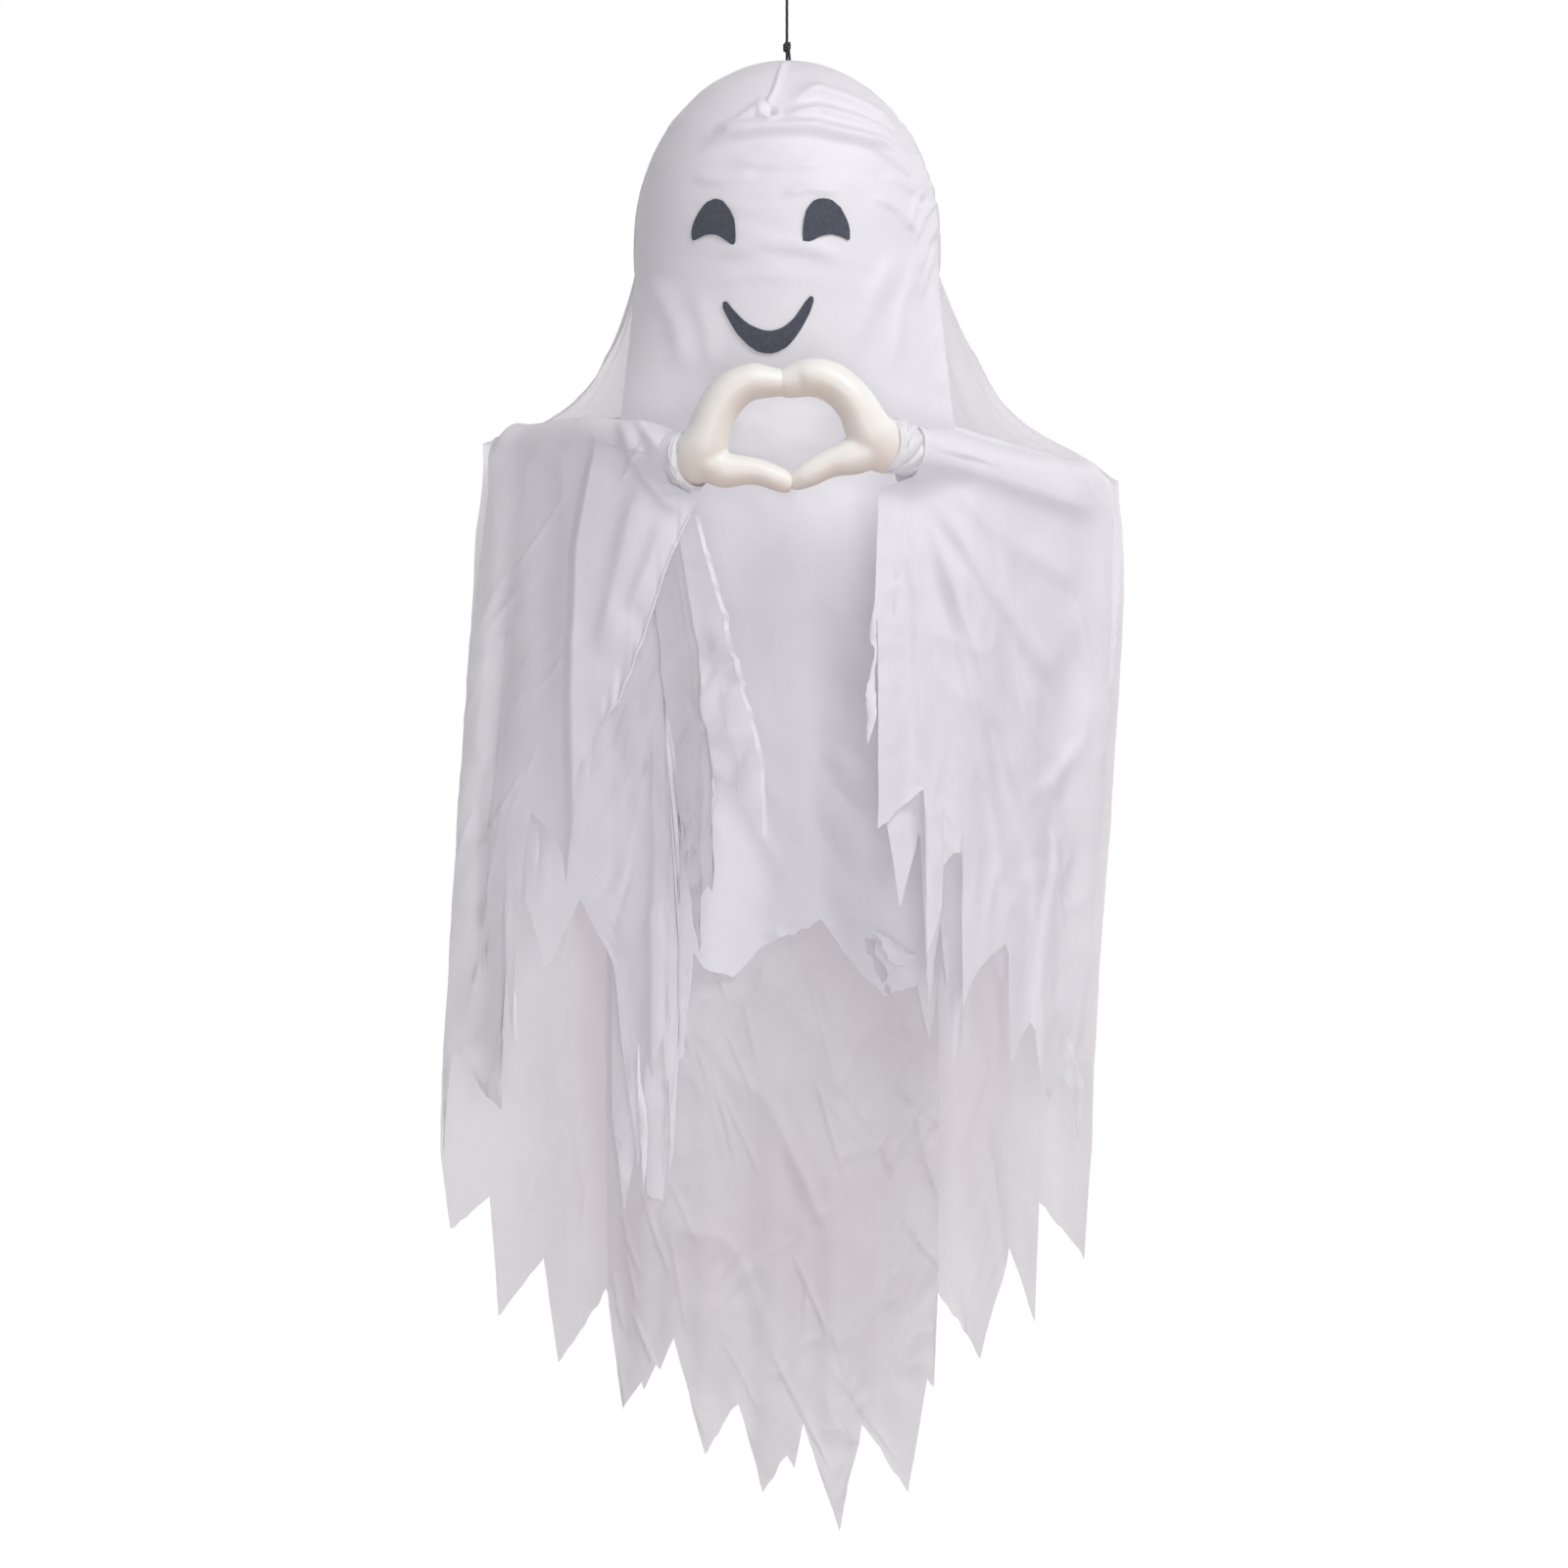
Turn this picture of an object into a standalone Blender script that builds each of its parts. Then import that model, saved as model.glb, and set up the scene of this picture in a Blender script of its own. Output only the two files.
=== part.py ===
"""A hanging ghost decoration.

A foam head and two moulded hands sit on one bendable arm wire, with foam tubes as
the arms. Thin white cloth goes over them: a front gown that starts as the face, a
hooded cape behind it, a longer panel underneath and two wide sleeves. Every cloth
ends in a jagged hem. The ghost hangs from a cord with a tied loop.

Metres, +Z up. The origin is where a hook bears inside the loop. The face looks to -Y.
"""

from bisect import bisect_right
from math import ceil, cos, hypot, pi, radians, sin, sqrt

import bmesh
import bpy
from mathutils import Matrix, Vector

MM = 0.001

# Cord and loop
CORD_D = 2.4 * MM
CORD_LENGTH = 74 * MM
CORD_KNOT_ABOVE_HEAD = 14 * MM
KNOT_D = 7 * MM
KNOT_LENGTH = 9 * MM
LOOP_LENGTH = 30 * MM
LOOP_WIDTH = 12 * MM

# Head
HEAD_WIDTH = 245 * MM
HEAD_DEPTH = 212 * MM
HEAD_HEIGHT = 298 * MM
HEAD_FLAT_CUT = 10 * MM  # sliced off the bottom of the egg

# Arm wire and foam
WIRE_D = 4 * MM
WIRE_ABOVE_NECK = 22 * MM  # height of the bore through the head above its lowest point
WIRE_INTO_HAND = 16 * MM
ARM_D = 36 * MM
BORE_PLAY = 0.6 * MM

# Points of the arms: across, forward and below the neck, from the shoulder to the wrist
LEFT_ARM = (
    (-100 * MM, 4 * MM, -4 * MM),
    (-170 * MM, -10 * MM, -16 * MM),
    (-229 * MM, -30 * MM, -23 * MM),
    (-146 * MM, -113 * MM, -22 * MM),
    (-80 * MM, -176 * MM, -42 * MM),
)
RIGHT_ARM = (
    (106 * MM, 4 * MM, -8 * MM),
    (186 * MM, -10 * MM, -34 * MM),
    (252 * MM, -30 * MM, -54 * MM),
    (166 * MM, -113 * MM, -48 * MM),
    (90 * MM, -176 * MM, -34 * MM),
)
ARM_EASE = 20 * MM  # how far each side of a gentle bend its curve starts
ELBOW_BARE = 37 * MM  # wire left bare each side of the elbow, where the foam would crush
ELBOW_BEND = 20 * MM  # how far each side of the elbow the wire's curve starts

# Hands: the stations below are for one hand, mirrored for the other. Each is the
# distance from the heart's middle, the height above its middle, and two half-widths.
HAND_DEPTH_PLACE = -190 * MM
HAND_TOUCH_GAP = 0.4 * MM
LEFT_HEART_BELOW_NECK = 12 * MM
RIGHT_HEART_BELOW_NECK = 7.5 * MM
HAND_WRIST = (70, -32, 20, 17)
HAND_STUB = (16 * MM, 15.5 * MM)  # half-height and half-depth at the end of the arm
HAND_PALM = (58.5, -5, 17.5, 19)
HAND_FINGERS = (
    (52.5, 10, 17, 20),
    (45, 20.5, 16.5, 21),
    (35.5, 27, 15.5, 21.5),
    (25.5, 29, 14.5, 21.5),
    (15, 28, 12.6, 20),
    (5, 26.5, 11.5, 17),
    (0, 26, 9.5, 13),
)
HAND_THUMB = (
    (50, -38, 16.5, 16),
    (40, -40, 13.5, 14),
    (28, -40.5, 10.8, 12.5),
    (17, -43.5, 10, 12),
    (6, -48, 9, 10.5),
    (1, -51, 6.8, 8),
)
CAGE_OVERSIZE = 1.09  # a subdivided cage is this much smaller than its control points

# Cloth
CLOTH = 1.4 * MM
CLOTH_GAP = 0.4 * MM
HOOD_EASE = 2.4 * MM  # how loosely the cloth lies round the head
CROWN_EASE = 0.7 * MM  # and on its crown
CROWN_HOLE_D = 7 * MM
SEAM_GAP = 0.8 * MM
FACE_SEAM = radians(78)  # from the middle of the face round to the hood's seam
CHEST_FORWARD = 84 * MM
CHEST_ARC = radians(48)  # the gown is flatter below the head
GOWN_FOLD = 5 * MM
GOWN_HALF_WIDTH = 140 * MM
UNDER_PANEL_TOP = 150 * MM  # below the neck
UNDER_PANEL_FORWARD = 66 * MM
UNDER_FOLD = 9 * MM
UNDER_SIDES_BACK = 0.34  # how much less far forward its side edges hang, as a share
UNDER_TOP_SHARE = 0.86  # its width where it is sewn on, as a share of its width below
FALL = 300 * MM  # how far down a hanging cloth its folds and its swing have grown full
SWING = 6 * MM  # outward from the arm
CAPE_BACK = 64 * MM  # how far behind the middle the cape hangs
CAPE_SEWN = radians(100)  # from the crown down to where the hood leaves the head
CAPE_EDGE_BACK = 12 * MM  # and how far behind the middle its front edges hang
CAPE_FOLD = 10 * MM
CAPE_BEHIND_ELBOW = 8 * MM
SHOULDER_BACK = 88 * MM  # behind the middle and below the neck, at the middle of the back
SHOULDER_DROP = 22 * MM
SHOULDER_SPREAD = 60 * MM  # how level the cloth comes in to the elbow
LEFT_SHOULDER_FULLNESS = 20 * MM
RIGHT_SHOULDER_FULLNESS = 42 * MM
LEFT_SHOULDER_RISE = 10 * MM
RIGHT_SHOULDER_RISE = 28 * MM
LEFT_CAPE_FOOT = 285 * MM  # from the middle to the cape's lower corner
RIGHT_CAPE_FOOT = 250 * MM
SLEEVE_GAP = 2 * MM  # between the foam arm and the sleeve
ELBOW_EASE = 3 * MM  # how much looser it lies round the elbow
SLEEVE_FROM_ELBOW = 6 * MM
SLEEVE_FOLD = 5 * MM
SLEEVE_BACK_AWAY = 10 * MM  # the back fall hangs this far behind the arm's middle
LEFT_LEAN = (0, 0, 85 * MM)  # of the front fall at the elbow and the wrist, and of the back fall
RIGHT_LEAN = (24 * MM, 58 * MM, 40 * MM)
CUFF_LENGTH = 22 * MM
CUFF_AHEAD = 0.15  # share of the cuff that lies beyond the end of the arm
CUFF_FLARE = 5 * MM
CUFF_GAP = 0.6 * MM
CUFF_GATHER = 1 * MM  # how far each gather stands in or out
CUFF_TO_SLEEVE = 6 * MM

# Grids of the cloths: the widest column, in the units of the hem, and the rows
GOWN_GRID = (20, 18)
UNDER_GRID = (14, 8)
CAPE_GRID = (0.1, 20)
SLEEVE_GRID = (16, 18)
FACE_SHARE = 0.5  # share of the gown's rows that lie above the head's middle
HOOD_SHARE = 0.45  # shares of the cape's rows down to the sewn line and to the elbows
SHOULDER_SHARE = 0.65
TURN_SHARE = 1 / 3  # share of the sleeve's rows that turn round the arm

# Hems: across from the middle of the body in mm, and mm below the neck
GOWN_HEM = (
    (-140, 560), (-128, 640), (-114, 565), (-106, 622), (-92, 628), (-86, 520),
    (-76, 512), (-68, 428), (-60, 440), (-38, 446), (-18, 424), (24, 402),
    (50, 440), (72, 462), (98, 455), (108, 500), (120, 440), (140, 520),
)  # fmt: skip
UNDER_HEM = (
    (-146, 705), (-132, 800), (-108, 757), (-102, 765), (-91, 738), (-66, 830),
    (-40, 790), (-18, 861), (0, 830), (6, 843), (13, 806), (42, 892), (61, 808),
    (97, 864), (113, 772), (118, 780), (122, 700),
)  # fmt: skip
CAPE_HEM = (
    (-1.0, 600), (-0.975, 660), (-0.86, 636), (-0.835, 735), (-0.71, 685),
    (-0.665, 773), (-0.53, 716), (-0.42, 800), (-0.32, 740), (-0.2, 815), (-0.08, 760),
    (0.04, 830), (0.16, 765), (0.28, 805), (0.4, 735), (0.5, 716), (0.65, 770),
    (0.715, 705), (0.735, 675), (0.82, 738), (0.835, 638), (0.98, 684), (1.0, 590),
)  # fmt: skip
# Sleeve hems: along the sleeve from its back seam, and below the neck
LEFT_FRONT_HEM = (
    (0, 555), (14, 602), (38, 504), (66, 558), (69, 458), (85, 505), (97, 328),
    (139, 376), (145, 325), (152, 349), (158, 257), (165, 294), (176, 253),
    (198, 230), (214, 202), (238, 162), (252, 138), (268, 112), (284, 84),
)  # fmt: skip
LEFT_BACK_HEM = (
    (0, 430), (40, 470), (80, 400), (120, 440), (150, 330), (190, 262), (205, 350),
    (232, 380), (240, 286), (262, 298), (284, 338),
)  # fmt: skip
RIGHT_FRONT_HEM = (
    (0, 540), (14, 584), (34, 528), (58, 557), (72, 488), (102, 518), (104, 422),
    (158, 474), (160, 348), (172, 346), (182, 363), (196, 429), (198, 294),
    (222, 312), (248, 330), (252, 243), (262, 268), (280, 232), (296, 262),
)  # fmt: skip
RIGHT_BACK_HEM = (
    (0, 430), (40, 480), (90, 390), (130, 450), (170, 330), (210, 380), (250, 250),
    (280, 290), (296, 150),
)  # fmt: skip

# Face patches, from the middle of the face: the face is turned to its right side
FACE_TURN = 11 * MM
PATCH = 0.8 * MM
BLUNT = 0.5 * MM  # height left at an eye's corners
EYE_APART = 91 * MM
EYE_WIDTH = 36 * MM
EYE_HEIGHT = 34 * MM
EYE_BELOW_CROWN = 156 * MM  # to the top of the notch in the eye's lower edge
EYE_CORNER_DROP = (4 * MM, 8 * MM)  # outer and inner corner, below that notch
MOUTH_WIDTH = 70 * MM
MOUTH_BELOW_CROWN = 206 * MM  # to the tips
MOUTH_TIP = 3 * MM  # height of the smile at its tips
MOUTH_SAG = (25 * MM, 44 * MM)  # upper and lower edge, below the tips

# Levels that follow from the sizes above
FIT = 0.3 * MM
KNOT_TOP = -(LOOP_LENGTH + CORD_D + FIT)
CORD_TOP = KNOT_TOP - KNOT_LENGTH - FIT
CROWN = CORD_TOP - CORD_LENGTH - FIT
NECK = CROWN - HEAD_HEIGHT
HEAD_MIDDLE = (CROWN + NECK) / 2
ROWS_DOWN = SLEEVE_GRID[1] / 2 * (1 - TURN_SHARE)  # of a sleeve's fall, below the arm's middle
COVER = HOOD_EASE + CLOTH / 2  # from the head to the middle of the cloth round it
CROWN_COVER = CROWN_EASE + CLOTH / 2


def eased(t):
    """A step from 0 to 1 with level ends."""
    t = min(1.0, max(0.0, t))
    return t * t * (3 - 2 * t)


def mixed(a, b, t):
    return a + (b - a) * t


def read_off(points, at):
    """The second value of a list of pairs where the first is at, on straight lines."""
    firsts = [p[0] for p in points]
    i = min(max(bisect_right(firsts, at) - 1, 0), len(points) - 2)
    (a, low), (b, high) = points[i], points[i + 1]
    return mixed(low, high, min(1.0, max(0.0, (at - a) / (b - a))))


def columns_of(hem, widest):
    """The hem's own points and enough between them that no column is wider than widest."""
    found = [hem[0][0]]
    for (a, _), (b, _) in zip(hem, hem[1:]):
        parts = ceil((b - a) / widest - 1e-6)
        found += [mixed(a, b, k / parts) for k in range(1, parts + 1)]
    return found


def material(name, colour, roughness, metallic=0.0):
    made = bpy.data.materials.new(name)
    made.use_nodes = True
    shader = made.node_tree.nodes["Principled BSDF"]
    shader.inputs["Base Color"].default_value = (*colour, 1)
    shader.inputs["Roughness"].default_value = roughness
    shader.inputs["Metallic"].default_value = metallic
    made.diffuse_color = (*colour, 1)
    return made


def object_from(name, bm, finish):
    """An object with the bmesh's faces, shaded smooth over its gentle edges."""
    bmesh.ops.recalc_face_normals(bm, faces=bm.faces)
    mesh = bpy.data.meshes.new(name)
    bm.to_mesh(mesh)
    bm.free()
    mesh.shade_smooth()
    mesh.set_sharp_from_angle(angle=radians(50))
    mesh.materials.append(finish)
    made = bpy.data.objects.new(name, mesh)
    bpy.context.scene.collection.objects.link(made)
    return made


def grid_faces(bm, grid, closed=False):
    """Quads over a list of rows of vertices, and round from the last row to the first."""
    pairs = list(zip(grid, grid[1:])) + ([(grid[-1], grid[0])] if closed else [])
    for first, second in pairs:
        for k in range(len(first) - 1):
            bm.faces.new((first[k], first[k + 1], second[k + 1], second[k]))


def cloth(name, hem, grid, point, finish):
    """A sheet of cloth: point(column, share of the way down) on a grid, made CLOTH thick."""
    widest, rows = grid
    columns = columns_of(hem, widest)
    bm = bmesh.new()
    sheet = [
        [bm.verts.new(point(u, k / rows)) for k in range(rows + 1)] for u in columns
    ]
    grid_faces(bm, sheet)
    made = object_from(name, bm, finish)
    wall = made.modifiers.new("Thickness", "SOLIDIFY")
    wall.thickness = CLOTH
    wall.offset = 0
    return made


def frames_along(path):
    """A place, a sideways and an upward direction for each point of a path."""
    frames = []
    for k, place in enumerate(path):
        along = (path[min(k + 1, len(path) - 1)] - path[max(k - 1, 0)]).normalized()
        reference = Vector((0, 0, 1)) if abs(along.z) < 0.95 else Vector((0, 1, 0))
        side = along.cross(reference).normalized()
        frames.append((place, side, side.cross(along)))
    return frames


def tube(name, path, radius, sides, finish, bore=None):
    """A round bar along a path, or a pipe if it has a bore."""
    bm = bmesh.new()

    def skin(r):
        return [
            [
                bm.verts.new(place + side * r * cos(a) + up * r * sin(a))
                for place, side, up in frames_along(path)
            ]
            for a in (2 * pi * k / sides for k in range(sides))
        ]

    outer = skin(radius)
    grid_faces(bm, outer, closed=True)
    if bore is None:
        for end in (0, -1):
            bm.faces.new([row[end] for row in outer])
    else:
        inner = skin(bore)
        grid_faces(bm, inner, closed=True)
        for end in (0, -1):
            rim = [[a[end], b[end]] for a, b in zip(outer, inner)]
            grid_faces(bm, rim, closed=True)
    return object_from(name, bm, finish)


def rounded_corner(before, corner, after, radius, steps=6):
    """Points on a curve that leaves the corner out, radius back along both sides."""
    start = corner + (before - corner).normalized() * radius
    end = corner + (after - corner).normalized() * radius
    return [
        start * (1 - t) ** 2 + corner * 2 * t * (1 - t) + end * t * t
        for t in (k / steps for k in range(steps + 1))
    ]


class Arm:
    """The wire's run from shoulder to wrist, and the two stretches of it that carry foam."""

    def __init__(self, points):
        shoulder, upper, elbow, fore, wrist = (
            Vector((x, y, NECK + below)) for x, y, below in points
        )
        self.elbow = elbow
        self.forward = (fore - elbow).normalized()
        back = (upper - elbow).normalized()
        self.upper = [
            shoulder,
            *rounded_corner(shoulder, upper, elbow, ARM_EASE, 3),
            elbow + back * ELBOW_BARE,
        ]
        self.fore = [
            elbow + self.forward * ELBOW_BARE,
            *rounded_corner(elbow, fore, wrist, ARM_EASE, 3),
            wrist,
        ]
        bend = rounded_corner(upper, elbow, fore, ELBOW_BEND)
        self.wire = [*self.upper, *bend, *self.fore]


def hang_cord(finish):
    """The cord with its knot, and the loop tied at its top."""
    foot = CROWN + FIT
    tube(
        "hanging_cord",
        [Vector((0, 0, mixed(foot, CORD_TOP, k / 4))) for k in range(5)],
        CORD_D / 2,
        8,
        finish,
    )
    loop = bpy.data.curves.new("hanging_loop", "CURVE")
    loop.dimensions = "3D"
    loop.bevel_depth = CORD_D / 2
    loop.bevel_resolution = 2
    ring = loop.splines.new("POLY")
    steps = 8
    bend = (LOOP_WIDTH + CORD_D) / 2
    low, high = CORD_D / 2 - LOOP_LENGTH - CORD_D + bend, CORD_D / 2 - bend
    turns = [(k * pi / steps, high) for k in range(steps + 1)]
    turns += [(pi + k * pi / steps, low) for k in range(steps + 1)]
    ring.points.add(len(turns) - 1)
    for point, (a, level) in zip(ring.points, turns):
        point.co = (bend * cos(a), 0, level + bend * sin(a), 1)
    ring.use_cyclic_u = True
    loop.materials.append(finish)
    made = bpy.data.objects.new("hanging_loop", loop)
    bpy.context.scene.collection.objects.link(made)
    knot("loop_knot", KNOT_TOP - KNOT_LENGTH / 2, 0, finish)
    knot("cord_knot", CROWN + CORD_KNOT_ABOVE_HEAD, CORD_D / 2 + FIT, finish)


def knot(name, height, bore, finish):
    """A barrel of wound cord, solid at the loop and with a bore where the cord goes through."""
    bm = bmesh.new()
    turns, rings = 10, 6
    profile = []
    for k in range(rings + 1):
        a = pi * (k / rings - 0.5)
        narrow = max(bore + CORD_D / 2, KNOT_D / 4)
        profile.append((mixed(narrow, KNOT_D / 2, cos(a)), KNOT_LENGTH / 2 * sin(a)))
    outer = [
        [bm.verts.new((r * cos(a), r * sin(a), height + z)) for r, z in profile]
        for a in (2 * pi * k / turns for k in range(turns))
    ]
    grid_faces(bm, outer, closed=True)
    if bore:
        inner = [
            [bm.verts.new((bore * cos(a), bore * sin(a), height + z)) for _, z in profile]
            for a in (2 * pi * k / turns for k in range(turns))
        ]
        grid_faces(bm, inner, closed=True)
        for end in (0, -1):
            rim = [[a[end], b[end]] for a, b in zip(outer, inner)]
            grid_faces(bm, rim, closed=True)
    else:
        for end in (0, -1):
            bm.faces.new([row[end] for row in outer])
    object_from(name, bm, finish)


def head_form(finish):
    """A foam egg with a flat bottom and a bore across it for the arm wire."""
    bm = bmesh.new()
    bmesh.ops.create_uvsphere(bm, u_segments=20, v_segments=14, radius=0.5)
    size = Matrix.Diagonal((HEAD_WIDTH, HEAD_DEPTH, HEAD_HEIGHT, 1))
    bmesh.ops.transform(bm, matrix=size, verts=bm.verts)
    bmesh.ops.translate(bm, vec=(0, 0, HEAD_MIDDLE), verts=bm.verts)
    cut = bmesh.ops.bisect_plane(
        bm,
        geom=bm.verts[:] + bm.edges[:] + bm.faces[:],
        plane_co=(0, 0, NECK + HEAD_FLAT_CUT),
        plane_no=(0, 0, -1),
        clear_outer=True,
    )
    rim = [e for e in cut["geom_cut"] if isinstance(e, bmesh.types.BMEdge)]
    bmesh.ops.contextual_create(bm, geom=rim)
    head = object_from("head_form", bm, finish)
    reach = Vector((HEAD_WIDTH, 0, 0))
    middle = Vector((0, LEFT_ARM[0][1], NECK + WIRE_ABOVE_NECK))
    cutter = tube(
        "wire_bore", [middle - reach, middle + reach], WIRE_D / 2 + BORE_PLAY, 8, finish
    )
    cutter.hide_render = True
    cutter.display_type = "WIRE"
    bore = head.modifiers.new("Wire bore", "BOOLEAN")
    bore.operation = "DIFFERENCE"
    bore.object = cutter


def arms(foam, metal):
    """The wire from hand to hand, and foam tubes on each upper arm and forearm."""
    left, right = Arm(LEFT_ARM), Arm(RIGHT_ARM)
    for side, arm in (("left", left), ("right", right)):
        for stretch, path in (("upper_arm", arm.upper), ("forearm", arm.fore)):
            tube(
                f"{side}_{stretch}", path, ARM_D / 2, 8, foam, bore=WIRE_D / 2 + BORE_PLAY
            )
    inside = HEAD_WIDTH / 2 * sqrt(1 - (1 - 2 * WIRE_ABOVE_NECK / HEAD_HEIGHT) ** 2)
    level = Vector((inside, LEFT_ARM[0][1], NECK + WIRE_ABOVE_NECK))
    through = [Vector((-level.x, level.y, level.z)), level]
    ends = [
        path[-1] + (path[-1] - path[-2]).normalized() * (FIT + WIRE_INTO_HAND)
        for path in (left.wire, right.wire)
    ]
    wire = [ends[0], *reversed(left.wire), *through, *right.wire, ends[1]]
    tube("arm_wire", wire, WIRE_D / 2, 6, metal)
    return left, right


def hand(side, name, arm, heart_below_neck, finish):
    """One moulded hand: a thick outline of quads, rounded by subdivision.

    The outline runs from the fingertip round the palm to the thumb tip, with the wrist
    as a branch at the palm. side is -1 for the left hand and 1 for the right.
    """
    middle = Vector((side * HAND_TOUCH_GAP / 2, HAND_DEPTH_PLACE, NECK - heart_below_neck))

    def pair(station, towards):
        """The outer and inner front and back corners at a station."""
        x, z, wide, deep = station
        out = Vector(towards).normalized() * wide * CAGE_OVERSIZE
        corners = []
        for sign in (1, -1):
            for depth in (-1, 1):
                across = (x + sign * out.x) * side
                corners.append(
                    middle
                    + Vector(
                        (across, depth * deep * CAGE_OVERSIZE, z + sign * out.y)
                    ) * MM
                )
        return corners

    def crosswise(stations, k):
        """The direction across the run of stations, on the outer side."""
        before, after = stations[max(k - 1, 0)], stations[min(k + 1, len(stations) - 1)]
        run = Vector((after[0] - before[0], after[1] - before[1]))
        return (-run.y, run.x) if run.x > 0 else (run.y, -run.x)

    bm = bmesh.new()

    def loop(corners):
        """Outer front, outer back, inner back, inner front."""
        of, ob, nf, nb = (bm.verts.new(c) for c in corners)
        return [of, ob, nb, nf]

    def skin(first, second, skip=()):
        for k in range(4):
            if k not in skip:
                m = (k + 1) % 4
                bm.faces.new((first[k], first[m], second[m], second[k]))

    finger_run = [HAND_PALM, *HAND_FINGERS]
    fingers = []
    for k, station in enumerate(finger_run):
        x, z = crosswise(finger_run, k)
        fingers.append(loop(pair(station, (x, z) if k else (0.86, 0.5))))
    thumb = [
        loop(pair(station, tuple(-c for c in crosswise(HAND_THUMB, k))))
        for k, station in enumerate(HAND_THUMB)
    ]
    near = loop(pair(HAND_WRIST, (-0.2, 1)))
    end = arm.fore[-1]
    along = (end - arm.fore[-2]).normalized()
    front = along.cross(Vector((0, 0, 1))).normalized() * -side
    high, deep = (size * CAGE_OVERSIZE for size in HAND_STUB)
    rise = front.cross(along).normalized() * high * -side
    stub = loop(
        [
            end + along * 2 * FIT + up * rise + forward * front * deep
            for up in (1, -1)
            for forward in (1, -1)
        ]
    )
    for run in (fingers, thumb):
        for first, second in zip(run, run[1:]):
            skin(first, second)
        bm.faces.new(run[-1])
    palm, root = fingers[0], thumb[0]
    skin(palm, root, skip=(0,))
    for a, b, c, d in (
        (palm[0], palm[1], near[1], near[0]),
        (root[0], root[1], near[2], near[3]),
        (palm[0], near[0], near[3], root[0]),
        (palm[1], root[1], near[2], near[1]),
    ):
        bm.faces.new((a, b, c, d))
    skin(near, stub)
    bm.faces.new(stub)
    made = object_from(name, bm, finish)
    rounded = made.modifiers.new("Rounded", "SUBSURF")
    rounded.levels = rounded.render_levels = 1
    cutter = tube(
        name + "_bore",
        [end - along * WIRE_INTO_HAND, end + along * (WIRE_INTO_HAND + 2 * FIT)],
        WIRE_D / 2 + BORE_PLAY,
        8,
        finish,
    )
    cutter.hide_render = True
    cutter.display_type = "WIRE"
    bore = made.modifiers.new("Wire bore", "BOOLEAN")
    bore.operation = "DIFFERENCE"
    bore.object = cutter


def on_head(angle, latitude):
    """A point on the head form: angle round from the face, latitude from the crown."""
    wide, deep, tall = HEAD_WIDTH / 2, HEAD_DEPTH / 2, HEAD_HEIGHT / 2
    return Vector(
        (
            (wide + COVER) * sin(latitude) * sin(angle),
            -(deep + COVER) * sin(latitude) * cos(angle),
            HEAD_MIDDLE + (tall + CROWN_COVER) * cos(latitude),
        )
    )


def crown_latitude():
    """Where the cloth starts round the hole at the crown."""
    return CROWN_HOLE_D / HEAD_WIDTH


def gown_section(z):
    """Half-width, half-angle and depth of the gown's arc at a level below the head's middle."""
    fall = eased((HEAD_MIDDLE - z) / (0.8 * HEAD_HEIGHT))
    spread = mixed(FACE_SEAM, CHEST_ARC, fall)
    wide = (HEAD_WIDTH / 2 + COVER) * sin(FACE_SEAM)
    return (
        mixed(wide, GOWN_HALF_WIDTH, fall),
        spread,
        mixed(HEAD_DEPTH / 2 + COVER, CHEST_FORWARD, fall),
    )


def gown_depth(x, z):
    """How far forward the face cloth or gown is at a place seen from the front."""
    if z > HEAD_MIDDLE:
        wide, deep = HEAD_WIDTH / 2 + COVER, HEAD_DEPTH / 2 + COVER
        tall = HEAD_HEIGHT / 2 + CROWN_COVER
        return -deep * sqrt(1 - (x / wide) ** 2 - ((z - HEAD_MIDDLE) / tall) ** 2)
    half, spread, forward = gown_section(z)
    sine = x * sin(spread) / half
    fold = GOWN_FOLD * eased((NECK - z) / FALL) * sin(9 * x / half + z / (0.8 * FALL))
    return -forward * sqrt(1 - sine * sine) + fold * (1 - (x / half) ** 2)


def gown_point(across, down):
    """The face, and below it the chest and the front panel to its hem."""
    share = across * MM / GOWN_HALF_WIDTH
    if down < FACE_SHARE:
        latitude = mixed(crown_latitude(), pi / 2, down / FACE_SHARE)
        return on_head(share * FACE_SEAM, latitude)
    hem = NECK - read_off(GOWN_HEM, across) * MM
    z = mixed(HEAD_MIDDLE, hem, (down - FACE_SHARE) / (1 - FACE_SHARE))
    half, spread = gown_section(z)[:2]
    x = half * sin(share * spread) / sin(spread)
    return Vector((x, gown_depth(x, z), z))


def under_point(across, down):
    """The long panel that hangs behind the gown's front and below it."""
    top = NECK - UNDER_PANEL_TOP
    hem = NECK - read_off(UNDER_HEM, across) * MM
    z = mixed(top, hem, down)
    below = (top - z) / (top - hem)
    share = across / UNDER_HEM[0][0]
    folds = UNDER_FOLD * eased(1.6 * below - 0.5)
    wave = sin(0.165 * across + 2.6 * below) + 0.5 * sin(0.31 * across - 3.4 * below + 1)
    x = across * MM * mixed(UNDER_TOP_SHARE, 1, eased(2 * below))
    sewn = gown_depth(x, z) + CLOTH + CLOTH_GAP
    free = -UNDER_PANEL_FORWARD * (1 - UNDER_SIDES_BACK * share * share) + folds * wave
    return Vector((x, mixed(sewn, free, eased(3 * below)), z))


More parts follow.
